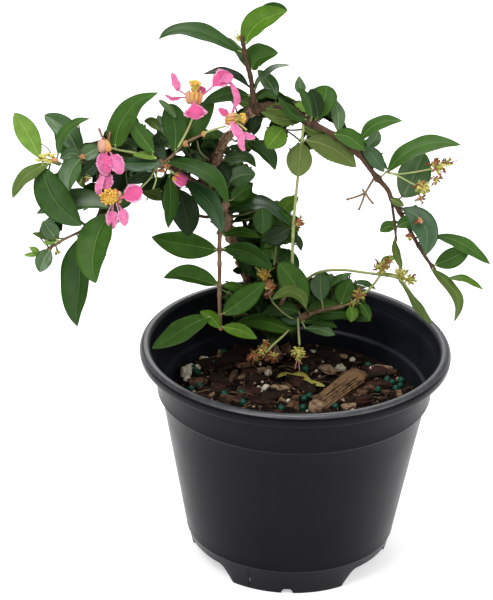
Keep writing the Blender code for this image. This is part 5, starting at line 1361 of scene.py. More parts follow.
# small openings through the crown that show sky: the two ends of each and half its width
OPEN = [(134, 174.5, 149, 172.5, 2.0), (137, 183, 143, 181, 1.6), (170, 168, 178, 169, 2.6), (88, 177, 88, 184, 2.4),
        (95, 182, 98, 180, 1.8), (73, 189, 83, 188.5, 2.0), (152, 126, 155, 133, 2.8), (140.5, 145, 140.5, 147, 2.0),
        (163, 146.5, 169, 148, 2.0), (64, 144.5, 64, 145.5, 1.8), (194, 144, 197, 141.5, 2.2), (182, 189, 200, 208, 2.0),
        (200, 208, 205, 213, 3.4), (232, 216, 241, 216.5, 2.4), (239, 226, 255, 226, 2.2), (244, 243, 252, 245, 1.9),
        (225, 242, 226, 247, 3.0), (273, 231, 275, 234, 2.8), (282, 246.5, 291, 246.5, 2.0), (298, 248, 304, 274, 4.6),
        (283, 92, 304, 98, 5.0), (128, 203, 140, 216, 5.0)]
for x0, y0, x1, y1, wide in OPEN:
    px, py = cols - 20 - x0, rows - 20 - y0
    dx, dy = x1 - x0, y1 - y0
    along = np.clip((px * dx + py * dy) / max(1e-9, dx * dx + dy * dy), 0, 1)
    ALLOW &= np.hypot(px - along * dx, py - along * dy) > wide
NEAR = DEPTH.copy()
for dy in (-1, 0, 1):
    for dx in (-1, 0, 1):
        NEAR = np.minimum(NEAR, np.roll(np.roll(DEPTH, dy, 0), dx, 1))
NEAR[np.isinf(NEAR)] = -1.0
LOW_BOX = np.array(CAD_LO) - 0.006
HIGH_BOX = np.array(CAD_HI) + 0.004


def hidden_well(points, gap=0.6):
    """Whether all the points stay inside the shape of the crown in the view and behind what shows there."""
    p = points.reshape(-1, 3)
    if (p < LOW_BOX).any() or (p > HIGH_BOX).any() or p[:, 2].min() < 0.0885:
        return False
    near_pot = p[:, 2] < 0.1175
    if (np.hypot(p[near_pot, 0], p[near_pot, 1]) > 0.0655).any():
        return False
    seen = project(p)
    x = np.round(seen[:, 0]).astype(int) + 20
    y = np.round(seen[:, 1]).astype(int) + 20
    if x.min() < 0 or y.min() < 0 or x.max() >= ALLOW.shape[1] or y.max() >= ALLOW.shape[0]:
        return False
    return bool(ALLOW[y, x].all() and (seen[:, 2] > NEAR[y, x] + gap * MM).all())


MASS_MIDDLES = {}
for group, masses in MASS_GROUPS.items():
    for mass in masses:
        lo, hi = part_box(mass)
        MASS_MIDDLES[mass] = ((np.array(lo) + np.array(hi)) / 2, group)
MIDDLES = np.array([v[0] for v in MASS_MIDDLES.values()])
GROUP_OF = [v[1] for v in MASS_MIDDLES.values()]
SPRAY_TONES = (["mid"] * 30 + ["deep"] * 30 + ["bright"] * 10 + ["blue"] * 12 + ["sheen"] * 8 + ["olive"] * 6 + ["dark"] * 4)
FILL_COUNT = 0


def free_leaf(base, way, up, length, tone, group):
    """A leaf that grows from base along way, its face towards up; returns its midrib if there is room."""
    steps = 14
    t = np.linspace(0, 1, steps)
    way = unit(way)
    up = unit(up - way * (up @ way))
    side = np.cross(up, way)
    droop = RNG.uniform(0.10, 0.36) * length
    swing = RNG.normal() * 0.08 * length
    spine = base + way * (length * t)[:, None] - (up * droop)[None] * (t ** 2)[:, None] + side * (swing * t ** 2)[:, None]
    tangent = unit(np.gradient(spine, axis=0))
    side = unit(np.cross(up, tangent))
    front = np.cross(tangent, side)
    half = length * RNG.uniform(0.195, 0.235) * np.maximum(outline(t, RNG.uniform(0.85, 1.0), 0.74), 0.05)
    edge = np.stack([spine + side * half[:, None], spine, spine - side * half[:, None]], 1)
    if not hidden_well(edge):
        return None
    fold, curl = math.radians(RNG.uniform(4, 26)), RNG.uniform(0.2, 0.6)
    few = [0, 1, 3, 5, 7, 9, 11, 13]
    blade(heap_for(group), spine[few], side[few], front[few], half[few], fold - curl / 2, fold - curl / 2, 1, tone_mats(tone),
          cells=3, curl=curl, veins=0.0, vein_depth=0.0, wave=RNG.uniform(0.02, 0.09), phase=RNG.random())
    return spine


def grow_twig(start, way, length, r0, leafy=1.0, keep_out=0.0):
    """A twig with opposite pairs of leaves; only what has room is kept."""
    global FILL_COUNT
    way = unit(way)
    bend = RNG.normal(size=3) * 0.16
    steps = max(6, int(length / 1.6))
    t = np.linspace(0, 1, steps)
    pts = start + way * (length * MM * t)[:, None] + (bend * length * MM)[None] * (t ** 2)[:, None]
    pts[:, 2] -= 0.10 * length * MM * t ** 2
    if not hidden_well(pts[2:], 0.9) or not hidden_well(pts[1:2], 0.3):
        return 0
    middle = pts[-1]
    k = int(np.linalg.norm(MIDDLES - middle, axis=1).argmin())
    group = GROUP_OF[k]
    tone = SPRAY_TONES[int(RNG.integers(len(SPRAY_TONES)))]
    turn = RNG.random() * math.pi
    made = 0
    gap = RNG.uniform(5.0, 8.0)
    spots = list(np.arange(max(2.5, gap * 0.5), length, gap)) + [length]
    for n, spot in enumerate(spots):
        i = min(steps - 1, int(round(spot / length * (steps - 1))))
        at = pts[i]
        along = unit(pts[min(i + 1, steps - 1)] - pts[max(i - 1, 0)])
        a = unit(np.cross(along, [0.0, 0.0, 1.0]) + 1e-6)
        b = np.cross(along, a)
        for half_turn in (0, math.pi):
            if RNG.random() > leafy:
                continue
            ang = turn + n * math.pi / 2 + half_turn + RNG.normal() * 0.25
            out = math.cos(ang) * a + math.sin(ang) * b
            for _ in range(3):
                size = RNG.uniform(13, 30) * MM * (0.8 if n == len(spots) - 1 else 1.0)
                direction = unit(out * RNG.uniform(0.7, 1.1) + along * RNG.uniform(0.2, 0.8) + np.array([0, 0, RNG.uniform(-0.25, 0.25)]))
                face = unit(np.array([0, 0, 1.0]) + 0.55 * RNG.normal(size=3) + out * 0.25 - AHEAD * 0.15)
                foot = at + direction * RNG.uniform(1.2, 2.2) * MM
                if not hidden_well(foot[None], 0.8):
                    continue
                leaf = free_leaf(foot, direction, face, size, tone if RNG.random() < 0.75 else
                                 SPRAY_TONES[int(RNG.integers(len(SPRAY_TONES)))], group)
                if leaf is not None:
                    tube(TWIGS, spline([at, foot, leaf[1]], 4), np.linspace(0.42, 0.34, 4) * MM, 5, W_DULL_AND_SHADED)
                    made += 1
                    break
    if made:
        tube(TWIGS, pts, np.linspace(r0, 0.36, steps) * MM, 7, W_RED if r0 > 0.5 else W_DULL_AND_SHADED)
        lump(TWIGS, pts[-1] + (pts[-1] - pts[-2]) * 0.3, (0.42 * MM, 0.4 * MM, 0.95 * MM), pts[-1] - pts[-2], W_DULL_AND_SHADED, 2, 0.1)
        FILL_COUNT += made
    return made


# limb: (share of its length where leaves start, spacing mm, longest twig mm, tries)
BEARING = {
    "bough_upper": (0.05, 4.0, 22, 5), "leader": (0.05, 4.0, 12, 4), "arch_rising": (0.03, 3.0, 22, 6),
    "arch_falling": (0.05, 3.5, 18, 5), "arch_tip": (0.05, 3.5, 20, 5), "arch_twig": (0.2, 4.0, 10, 3),
    "bough_left": (0.15, 3.0, 24, 6), "bough_left_outer": (0.0, 2.6, 22, 7), "twig_left_low": (0.05, 3.0, 18, 5),
    "hanging_twig": (0.05, 3.4, 14, 5), "low_branch": (0.25, 2.6, 24, 8), "basal_stem": (0.2, 2.6, 20, 7),
    "upright_stem": (0.0, 3.2, 26, 6), "arc_stem": (0.1, 5.0, 12, 3), "arc_stem_end": (0.3, 5.0, 10, 2),
    "bough_back": (0.1, 1.6, 26, 9), "twig_back_low": (0.1, 1.3, 26, 9), "twig_back_right": (0.1, 1.6, 24, 9),
    "twig_back_left": (0.1, 1.6, 24, 9), "trunk": (0.30, 2.4, 26, 7),
}
for limb, (start, spacing, longest, tries) in BEARING.items():
    pts, radii = CARRIERS[limb]
    run = np.concatenate([[0], np.cumsum(np.linalg.norm(np.diff(pts, axis=0), axis=1))]) / MM
    for at in np.arange(run[-1] * start, run[-1] + 0.01, spacing):
        i = int(np.abs(run - at).argmin())
        along = unit(pts[min(i + 1, len(pts) - 1)] - pts[max(i - 1, 0)])
        for _ in range(tries):
            out = RNG.normal(size=3)
            out[2] = out[2] * 0.7 + 0.25
            out = out - along * (out @ along)
            out = unit(unit(out) + along * RNG.uniform(-0.1, 0.6))
            length = RNG.uniform(4, longest)
            if grow_twig(pts[i], out, length, min(radii[i] / MM * 0.6, 0.42 + 0.012 * length)):
                SWELLINGS.setdefault(limb, []).append(i)

# the scaly knuckle half way down the main bough, and the peeling scales above it
SCALE_RNG = np.random.default_rng(77)
for k, (x, y, r) in enumerate(((216.0, 156.5, 3.0), (218.5, 159.5, 2.3), (213.8, 159.0, 2.1), (219.5, 153.0, 2.3))):
    lump(TWIGS, place(x, y, near_depth(x, y, ["bough_upper"], -2.2)), (r * 0.85 * MM, r * 0.7 * MM, r * MM), UP + 0.7 * RIGHT, W_BARK,
         3, 0.30, seed=k, scale=2.6)
for k in range(34):
    t, across = SCALE_RNG.uniform(0, 1), SCALE_RNG.uniform(-2.5, 2.5)
    x, y = 233 - 17 * t + 1.7 * across, 127 + 31 * t + 0.9 * across
    lift = -math.sqrt(3.15 ** 2 - across ** 2) - (1.6 if t > 0.84 else 0.0)
    lump(TWIGS, place(x, y, near_depth(x, y, ["bough_upper"], lift)), (0.24 * MM, 0.20 * MM, SCALE_RNG.uniform(0.7, 1.5) * MM),
         UP + 0.55 * RIGHT + 0.25 * SCALE_RNG.normal(size=3), W_FLAKE if k % 3 else W_TAN, 2, 0.2, seed=k)

for heap, title, skins, slot in ((TWIGS, "twigs_and_petioles", WOODS, "bark"), (BLOSSOM, "blossom", BLOOMS, "leaf"),
                                 (SPENT, "spent_blossom", BLOOMS, "leaf")):
    for obj in heap.pieces(title, skins):
        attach(obj, "root")
print("leaves placed", HERO_COUNT, "leaves grown", FILL_COUNT, "triangles",
      {"twigs": TWIGS.triangles(), "blossom": BLOSSOM.triangles(), "spent": SPENT.triangles(),
       **{k: v.triangles() for k, v in HEAPS.items()}})

for group, masses in MASS_GROUPS.items():
    for obj in HEAPS[group].pieces("foliage_" + group, LEAF_MATERIALS):
        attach(obj, "root")
        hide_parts(*masses)

# --------------------------------------------------------------------- pot
def wall(z):
    """Outer radius (mm) of the pot's wall at height z (mm)."""
    if z <= 14.0:
        return 49.0 + (52.0 - 49.0) * z / 14.0
    if z <= 89.6:
        return 52.5 + (66.5 - 52.5) * (z - 14.0) / (89.6 - 14.0)
    return 68.1 + (72.4 - 68.1) * (z - 89.6) / (115.5 - 89.6)


def foot_height(angle):
    """Height (mm) of the skirt's lower edge at an angle: three arched notches and three small ones."""
    best = 0.0
    for third in range(3):
        off = math.remainder(angle - math.radians(90 + 120 * third), 2 * math.pi)
        x = abs(49.5 * math.sin(off)) if abs(off) < 1.2 else 99.0
        half, tall, lean = 21.9, 9.3, 6.8
        if x < half:
            best = max(best, tall * float(np.interp(x, [0, half - lean, half - 0.78 * lean, half - 0.55 * lean, half - 0.25 * lean,
                                                         half - 0.05 * lean, half], [1, 0.99, 0.91, 0.72, 0.34, 0.05, 0.0])))
        off = math.remainder(angle - math.radians(270 + 120 * third), 2 * math.pi)
        x = abs(49.0 * math.sin(off)) if abs(off) < 1.2 else 99.0
        if x < 3.0:
            best = max(best, 2.5 * float(np.interp(x, [0, 1.8, 2.5, 3.0], [1, 1, 0.6, 0.0])))
    return best


def rounded(points, sizes, count=4):
    """The open profile with its corners rounded; sizes are the cut-backs (mm)."""
    out = [points[0]]
    for a, b, c, r in zip(points, points[1:], points[2:], sizes):
        a, b, c = np.array(a), np.array(b), np.array(c)
        la, lc = np.linalg.norm(a - b), np.linalg.norm(c - b)
        k = min(r, la * 0.45, lc * 0.45)
        if k < 0.02:
            out.append(tuple(b))
            continue
        p, q = b + (a - b) / la * k, b + (c - b) / lc * k
        for i in range(count + 1):
            t = i / count
            out.append(tuple((1 - t) ** 2 * p + 2 * t * (1 - t) * b + t * t * q))
    out.append(points[-1])
    return out


T = 1.3
inside = [(0.0, 11.5), (wall(11.5) - 3.2, 11.5), (wall(13.5) - T, 13.5), (wall(50) - T, 50.0), (wall(87.6) - T, 87.6),
          (wall(89.6) - T, 90.4), (wall(91.8) - T + 0.15, 91.5), (wall(100) - T, 100.0), (wall(106.8) - T - 0.1, 106.8),
          (wall(108.4) - T + 0.55, 108.4), (71.3, 110.8), (71.9, 113.6), (72.6, 114.8), (73.5, 115.5)]
lip = [(75.4, 115.5), (76.7, 114.7), (77.5, 112.9), (77.45, 111.0), (77.0, 109.3), (75.75, 109.3), (75.5, 111.5), (75.3, 113.2),
       (wall(113.3) + 0.4, 113.2), (wall(111) + 0.1, 111.0)]
outside = [(wall(109.0), 109.0), (wall(100) + 0.0, 100.0), (wall(91.8), 92.2), (wall(91.4) + 0.30, 90.7), (wall(89.5) + 0.1, 89.4),
           (wall(80), 80.0), (wall(60), 60.0), (wall(40), 40.0), (wall(20), 20.0), (wall(15.6), 15.6), (wall(14.2) + 0.25, 14.6),
           (wall(13.9) + 0.05, 13.5)]
upper_profile = rounded(inside + lip + outside, [0, 1.2, 1.5, 0, 0.6, 0.5, 0.6, 0, 0.4, 0.4, 1.0, 0.8, 0.5, 0.5, 0.6, 0.7, 0.8, 0.6, 0.4, 0.3,
                                                 0.3, 0.6, 0.5, 0.4, 0.4, 0, 0.6, 0.7, 0.4, 0, 0, 0, 0, 0.4, 0.5])
SEGMENTS = 400
angles = np.linspace(0, 2 * math.pi, SEGMENTS, endpoint=False)
pot_heap = Heap()
rings = []
for k, (r, z) in enumerate(upper_profile):
    high = max(0.0, (z - 92.0) / 23.5)
    wob = 0.16 * high * (np.sin(2 * angles + 0.7) + 0.5 * np.sin(3 * angles + 2.1))
    rise = 0.10 * high * np.sin(2 * angles + 2.6) - 0.75 * high * np.maximum(0.0, np.cos(angles - 1.05)) ** 2
    if r < 1e-6:
        rings.append(np.array([[0.0, 0.0, z]] * SEGMENTS))
        continue
    rings.append(np.stack([(r + wob) * np.cos(angles), (r + wob) * np.sin(angles), np.full(SEGMENTS, z) + rise], -1))
foot = np.array([foot_height(a) for a in angles])
foot_r = 49.0 + 3.0 * foot / 14.0
for inward, up in ((0.0, 0.35), (0.12, 0.10), (0.35, 0.0), (0.95, 0.0), (1.18, 0.10), (1.30, 0.35)):
    rings.append(np.stack([(foot_r - inward) * np.cos(angles), (foot_r - inward) * np.sin(angles), foot + up], -1))
for r, z in ((wall(9.7) - T, 9.75), (wall(10) - T - 0.3, 10.0), (30.0, 10.0), (8.7, 10.0), (8.3, 9.6), (8.05, 0.4), (7.7, 0.0)):
    rings.append(np.stack([r * np.cos(angles), r * np.sin(angles), np.full(SEGMENTS, z)], -1))
rings.append(np.array([[0.0, 0.0, 0.0]] * SEGMENTS))
rings = np.array(rings) * MM
body_rings = rings[1:-1]
verts = np.vstack([body_rings.reshape(-1, 3), rings[0][:1], rings[-1][:1]])
quads = grid_faces(len(body_rings), SEGMENTS, wrap=True)
first, last = len(body_rings) * SEGMENTS, len(body_rings) * SEGMENTS + 1
i = np.arange(SEGMENTS)
n = (i + 1) % SEGMENTS
end = (len(body_rings) - 1) * SEGMENTS
fans = np.vstack([np.stack([np.full(SEGMENTS, first), n, i], -1), np.stack([np.full(SEGMENTS, last), end + i, end + n], -1)])
pot_heap.add(verts, np.vstack([quads, np.hstack([fans, np.full((len(fans), 1), -1)])]), 0)

PLASTIC = material("pot_plastic_fine", (0.0022, 0.0024, 0.0044), rough=0.31, spread=0.24, grain=70.0, bump=0.10,
                   bump_scale=2600.0, bump_depth=0.012, specular=0.10, rough_spread=0.09)
# a paler copy of the plastic for the inside of the pot: painted light where little light reaches
PLASTIC_INSIDE_PAINTED_LIGHT = material("pot_plastic_inside_painted_light", (0.0110, 0.0122, 0.0178), rough=0.44, spread=0.26, grain=90.0, bump=0.12,
                          bump_scale=2200.0, bump_depth=0.012, specular=0.18, rough_spread=0.10)
# a paler copy of the plastic for the upward faces of the rim's roll: a painted highlight
PLASTIC_RIM_PAINTED_HIGHLIGHT = material("pot_plastic_rim_painted_highlight", (0.0300, 0.0308, 0.0362), rough=0.34, spread=0.34, grain=240.0, bump=0.14,
                       bump_scale=2400.0, bump_depth=0.015, specular=0.50, rough_spread=0.10)
pot_tree = PLASTIC.node_tree
pot_shader = pot_tree.nodes["Principled BSDF"]
pot = pot_heap.build("pot_moulded", [PLASTIC])
bm = bmesh.new()
bm.from_mesh(pot.data)
bmesh.ops.recalc_face_normals(bm, faces=bm.faces)
bm.to_mesh(pot.data)
bm.free()
cutters = []
for third in range(3):
    bm = bmesh.new()
    bmesh.ops.create_cone(bm, cap_ends=True, segments=40, radius1=5.0 * MM, radius2=5.0 * MM, depth=6 * MM)
    mesh = bpy.data.meshes.new(f"drain_{third}")
    bm.to_mesh(mesh)
    bm.free()
    ang = math.radians(90 + 120 * third)
    mesh.transform(Matrix.Translation((0.040 * math.cos(ang), 0.040 * math.sin(ang), 0.01075)))
    cutters.append(mesh)
# the small slit in the skirt
slit_at = on_level(248.7, 578.5, 0.0075)
for _ in range(6):
    slit_dir = unit(np.array([slit_at[0], slit_at[1], 0.0]))
    slit_at = place(248.7, 578.5, project((slit_dir * wall(7.5) * MM + np.array([0, 0, 0.0075]))[None])[0, 2])
slit_dir = unit(np.array([slit_at[0], slit_at[1], 0.0]))
bm = bmesh.new()
bmesh.ops.create_cube(bm, size=1.0)
mesh = bpy.data.meshes.new("slit")
bm.to_mesh(mesh)
bm.free()
mesh.transform(Matrix.Translation(Vector(slit_dir) * 50.5 * MM + Vector((0, 0, 5.2 * MM)))
               @ Matrix.Rotation(math.atan2(slit_dir[1], slit_dir[0]), 4, "Z") @ Matrix.Diagonal((6 * MM, 0.8 * MM, 3.4 * MM, 1)))
cutters.append(mesh)
for k, mesh in enumerate(cutters):
    tool = bpy.data.objects.new(f"cutter_{k}", mesh)
    bpy.context.scene.collection.objects.link(tool)
    cut = pot.modifiers.new(f"cut_{k}", "BOOLEAN")
    cut.operation = "DIFFERENCE"
    cut.solver = "EXACT"
    cut.object = tool
bpy.context.view_layer.update()
solid = bpy.data.meshes.new_from_object(pot.evaluated_get(bpy.context.evaluated_depsgraph_get()))
pot.modifiers.clear()
pot.data = solid
for tool in [o for o in bpy.data.objects if o.name.startswith("cutter_")]:
    bpy.data.objects.remove(tool, do_unlink=True)
solid.shade_smooth()
solid.set_sharp_from_angle(angle=math.radians(38))
# the upward faces on top of the rim and the inside are a little paler than the wall: a painted highlight on the rim and
# painted light inside
solid.materials.clear()
for skin in (PLASTIC, PLASTIC_INSIDE_PAINTED_LIGHT, PLASTIC_RIM_PAINTED_HIGHLIGHT):
    solid.materials.append(skin)
for face in solid.polygons:
    c = face.center
    r = math.hypot(c.x, c.y)
    outward = (face.normal.x * c.x + face.normal.y * c.y) / max(r, 1e-6)
    # upward faces on the rim's roll: painted highlight
    if c.z > 0.1092 and r > 0.0705 and face.normal.z > 0.42:
        face.material_index = 2
    # inward faces and low upward faces inside the pot: painted light
    elif c.z > 0.0112 and (outward < -0.2 or (face.normal.z > 0.5 and r < 0.0667)):
        face.material_index = 1
    else:
        face.material_index = 0
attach(pot, "root")
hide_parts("pot")

# -------------------------------------------------------------------- soil
SOIL_RNG = np.random.default_rng(8123)
MIX = [material("mix_dark", srgb(21, 15, 12), rough=0.92, spread=0.45, grain=520.0, bump=0.9, bump_scale=900.0, bump_depth=0.4,
                specular=0.10, second=srgb(34, 23, 17), second_scale=260.0, second_low=0.56, second_high=0.72),
       material("bark_chip_brown", srgb(98, 71, 53), rough=0.85, spread=0.30, grain=700.0, bump=0.7, bump_scale=1500.0,
                bump_depth=0.10, specular=0.15, second=srgb(46, 31, 23), second_scale=300.0, stretch=(1, 1, 0.5)),
       material("bark_chip_red", srgb(62, 37, 30), rough=0.85, spread=0.30, grain=700.0, bump=0.7, bump_scale=1500.0,
                bump_depth=0.10, specular=0.15, second=srgb(34, 21, 17), second_scale=300.0),
       material("bark_chip_dark", srgb(42, 31, 24), rough=0.88, spread=0.35, grain=700.0, bump=0.7, bump_scale=1500.0,
                bump_depth=0.10, specular=0.12),
       material("bark_chip_tan", srgb(156, 130, 104), rough=0.82, spread=0.22, grain=600.0, bump=0.6, bump_scale=1400.0,
                bump_depth=0.08, specular=0.15, second=srgb(104, 80, 62), second_scale=300.0),
       material("perlite", srgb(214, 206, 190), rough=0.95, spread=0.10, grain=900.0, bump=0.8, bump_scale=1600.0,
                bump_depth=0.12, specular=0.1, second=srgb(176, 168, 140), second_scale=420.0),
       material("prill", srgb(4, 66, 48), rough=0.45, spread=0.16, grain=500.0, bump=0.2, bump_scale=1600.0, specular=0.35),
       material("fibre", srgb(126, 102, 78), rough=0.85, spread=0.20, grain=900.0, bump=0.4, bump_scale=1500.0, specular=0.15),
       material("dry_leaf", srgb(180, 178, 84), rough=0.75, spread=0.14, grain=420.0, bump=0.4, bump_scale=1200.0, specular=0.2,
                second=srgb(150, 128, 60), second_scale=160.0),
       material("chip_grain", srgb(124, 96, 68), rough=0.85, spread=0.24, grain=420.0, bump=0.35, bump_scale=1500.0,
                bump_depth=0.06, specular=0.12, second=srgb(62, 44, 30), second_scale=210.0, second_low=0.50, second_high=0.66)]
(M_DARK, M_BROWN, M_RED, M_DUSK, M_TAN, M_PERLITE, M_PRILL, M_FIBRE, M_LEAF, M_GRAIN) = range(10)


def ground(x, y):
    """Height (m) of the mix at a place."""
    return 0.0838 + 0.0011 * fbm(x * 75, y * 75, 4.2, 4) + 0.0007 * fbm(x * 260, y * 260, 9.1, 3)


soil_heap = Heap()
RINGS, SPOKES = 100, 260
reach = (wall(84.0) - T - 0.75) * MM
rad = reach * np.linspace(0, 1, RINGS) ** 0.8
ang = np.linspace(0, 2 * math.pi, SPOKES, endpoint=False)
top_rings = []
for r in rad[1:]:
    edge = max(0.0, (r / reach - 0.9) / 0.1)
    ring = np.array([[r * math.cos(a), r * math.sin(a), ground(r * math.cos(a), r * math.sin(a)) * (1 - edge) + 0.0835 * edge]
                     for a in ang])
    top_rings.append(ring)
for r, z in ((wall(82.5) - T - 0.45, 82.3), (wall(50) - T - 0.45, 50.0), (wall(14.0) - 1.75, 14.2), (wall(11.5) - 3.9, 11.85)):
    top_rings.append(np.stack([r * np.cos(ang), r * np.sin(ang), np.full(SPOKES, z)], -1) * MM)
top_rings = np.array(top_rings)
verts = np.vstack([top_rings.reshape(-1, 3), [[0, 0, ground(0, 0)], [0, 0, 11.85 * MM]]])
quads = grid_faces(len(top_rings), SPOKES, wrap=True)[:, ::-1]
first, last = len(verts) - 2, len(verts) - 1
i = np.arange(SPOKES)
n = (i + 1) % SPOKES
end = (len(top_rings) - 1) * SPOKES
fans = np.vstack([np.stack([np.full(SPOKES, first), i, n], -1), np.stack([np.full(SPOKES, last), end + n, end + i], -1)])
soil_heap.add(verts, np.vstack([quads, np.hstack([fans, np.full((len(fans), 1), -1)])]), M_DARK)
print("soil body", soil_heap.triangles())


def axes(heading, pitch, roll):
    """Three axes of a body from its heading, pitch and roll in radians."""
    m = (Matrix.Rotation(heading, 3, "Z") @ Matrix.Rotation(-pitch, 3, "Y") @ Matrix.Rotation(roll, 3, "X"))
    return np.array(m).T


def chip(centre, size, turn, mat, square=0.45, rough=0.16, seed=0.0, level=3, taper=0.0, bend=0.0, scale=1.6):
    """A splinter of bark: a rounded block with worn, uneven faces; size is its half sizes (mm)."""
    v, f = ball(level)
    w = np.sign(v) * np.abs(v) ** square
    w = w * np.array([1 + rough * 1.6 * noise.noise(Vector(q * scale) + Vector((seed, -seed, seed * 0.3)))
                      + rough * 0.6 * noise.noise(Vector(q * scale * 3.1) + Vector((seed, 0, 0))) for q in v])[:, None]
    w[:, 1] *= 1 - taper * w[:, 0] * 0.5
    w[:, 2] *= 1 - taper * w[:, 0] * 0.25
    w = w * np.array(size)
    w[:, 2] += bend * (1 - (w[:, 0] / size[0]) ** 2) * size[0] * 0.3
    a = axes(*turn)
    soil_heap.add(np.asarray(centre) + (w @ a) * MM, f, mat)


# the bark, perlite and prills that can be told apart in the view: place, then size in mm
def at_view(x, y, lift=0.0):
    p = on_level(x, y, 0.0845)
    p[2] = ground(p[0], p[1]) + lift * MM
    return p


def inside(p, extent):
    """The same place, moved in from the wall where a piece of that half size (mm) would reach it."""
    r = math.hypot(p[0], p[1]) / MM
    limit = reach / MM - 0.4 - extent
    if r <= limit:
        return p
    lift = p[2] - ground(p[0], p[1])
    q = np.array([p[0] * limit / r, p[1] * limit / r, 0.0])
    q[2] = ground(q[0], q[1]) + lift
    return q


lo, hi = inside(at_view(313.5, 412.5), 4.0), at_view(362.5, 378)
print("big chip", np.hypot(lo[0], lo[1]), np.hypot(hi[0], hi[1]), reach)
way = hi - lo
length = np.linalg.norm(way) / MM
chip((lo + hi) / 2 + np.array([0, 0, 0.0030]), (length / 2 * 0.90, 4.6, 2.6), (math.atan2(way[1], way[0]), 0.05, 0.30), M_GRAIN, 0.34,
     0.16, 3.0, 4, taper=-0.22, scale=2.3)
chip(lo + way * 0.06 + np.array([0, 0, 0.0029]), (3.4, 3.6, 2.2), (math.atan2(way[1], way[0]), 0.05, 0.25), M_TAN, 0.45, 0.14, 5.0, 4)
for k in range(15):      # ridges along the grain
    off = (k - 7) * 0.55 + 0.22 * math.sin(3.1 * k)
    side_way = unit(np.cross([0, 0, 1], way))
    p = lo + way * (0.14 + 0.11 * (k * 3 % 5)) + side_way * off * MM + np.array([0, 0, 0.0056 - 0.00009 * off * off + 0.0002 * (k % 2)])
    q = lo + way * (0.66 + 0.08 * (k * 2 % 4)) + side_way * off * 1.05 * MM + np.array([0, 0, 0.0060 - 0.00009 * off * off])
    tube(soil_heap, spline([p, (p + q) / 2 + np.array([0, 0, 0.0002]), q], 14), np.linspace(0.22, 0.14, 14) * MM, 6,
         M_TAN if k % 5 == 0 else M_DUSK if k % 2 else M_GRAIN)
VIEW_CHIPS = [  # x, y, long, wide, thick (half sizes, mm), heading (degrees), material, lift
    (328, 373, 5.2, 2.7, 1.3, -50, M_TAN, 3.2), (298, 383, 5.2, 4.6, 1.5, 20, M_RED, 1.6), (276, 396, 11.0, 2.2, 1.1, 42, M_DUSK, 1.4),
    (262, 402, 7.5, 2.2, 1.2, -18, M_RED, 1.2), (293, 403, 5.2, 1.8, 1.4, 70, M_BROWN, 1.5), (357, 400, 8.0, 3.6, 1.4, 8, M_RED, 1.2),
    (349, 407, 3.4, 2.6, 1.4, 30, M_TAN, 1.0), (214, 362, 12.0, 3.0, 1.3, 12, M_DUSK, 1.4), (232, 355, 10.0, 3.0, 1.6, 24, M_DUSK, 1.6),
    (222, 380, 7.0, 3.2, 1.5, -20, M_DUSK, 1.2), (247, 366, 7.0, 1.5, 1.2, 35, M_BROWN, 2.0), (233, 378, 6.0, 1.3, 1.1, 78, M_BROWN, 1.8),
    (268, 372, 3.0, 1.6, 1.2, 70, M_TAN, 1.6), (204, 350, 6.5, 1.1, 1.0, 88, M_TAN, 2.2), (194, 353, 8.0, 1.2, 1.0, 4, M_TAN, 1.2),
    (251, 372, 5.0, 2.0, 1.0, -8, M_RED, 1.2), (284, 375, 6.0, 2.2, 1.2, 24, M_DUSK, 1.2), (333, 358, 8.0, 2.4, 1.2, -25, M_DUSK, 1.6),
    (312, 360, 7.0, 3.0, 1.4, 12, M_DUSK, 1.4), (356, 384, 6.0, 3.4, 1.6, 60, M_RED, 1.2), (376, 386, 7.0, 3.4, 1.6, -8, M_RED, 1.0),
    (374, 376, 6.5, 2.6, 1.3, 10, M_DUSK, 1.4), (383, 368, 5.0, 2.0, 1.0, -20, M_TAN, 1.0), (366, 392, 5.0, 2.4, 1.2, 35, M_BROWN, 1.0),
    (212, 391, 5.5, 2.4, 1.4, -32, M_DUSK, 1.0), (232, 400, 6.0, 2.0, 1.2, -12, M_BROWN, 1.2), (318, 398, 3.6, 1.2, 0.8, 4, M_TAN, 1.6),
    (240, 347, 6.5, 3.5, 1.6, 0, M_RED, 1.5), (258, 380, 6.0, 2.6, 1.4, 25, M_DUSK, 1.4), (341, 384, 4.0, 2.4, 1.2, 50, M_DUSK, 1.0),
    (270, 392, 5.5, 1.5, 1.2, 52, M_DUSK, 1.5), (280, 389, 5.0, 1.2, 1.0, 12, M_TAN, 1.4), (307, 390, 4.8, 2.0, 1.2, -16, M_DUSK, 1.0),
    (198, 382, 5.0, 2.4, 1.3, 14, M_BROWN, 1.0), (331, 404, 5.2, 1.6, 1.0, 14, M_DUSK, 1.0), (385, 392, 4.8, 1.6, 1.0, -30, M_BROWN, 1.2),
]
for k, (x, y, a, b, c, heading, mat, lift) in enumerate(VIEW_CHIPS):
    spot = at_view(x, y, lift * 0.75)
    swing = math.radians(heading) - math.atan2(spot[1], spot[0])
    spot = inside(spot, 1.12 * (abs(a * math.cos(swing)) + abs(b * math.sin(swing))))
    chip(spot, (a, b, c), (math.radians(heading), SOIL_RNG.uniform(-0.15, 0.2), SOIL_RNG.uniform(-0.35, 0.35)),
         mat, 0.42, 0.20, k * 2.3 + 1, 3, taper=SOIL_RNG.uniform(0, 0.7), bend=SOIL_RNG.uniform(-0.1, 0.25))
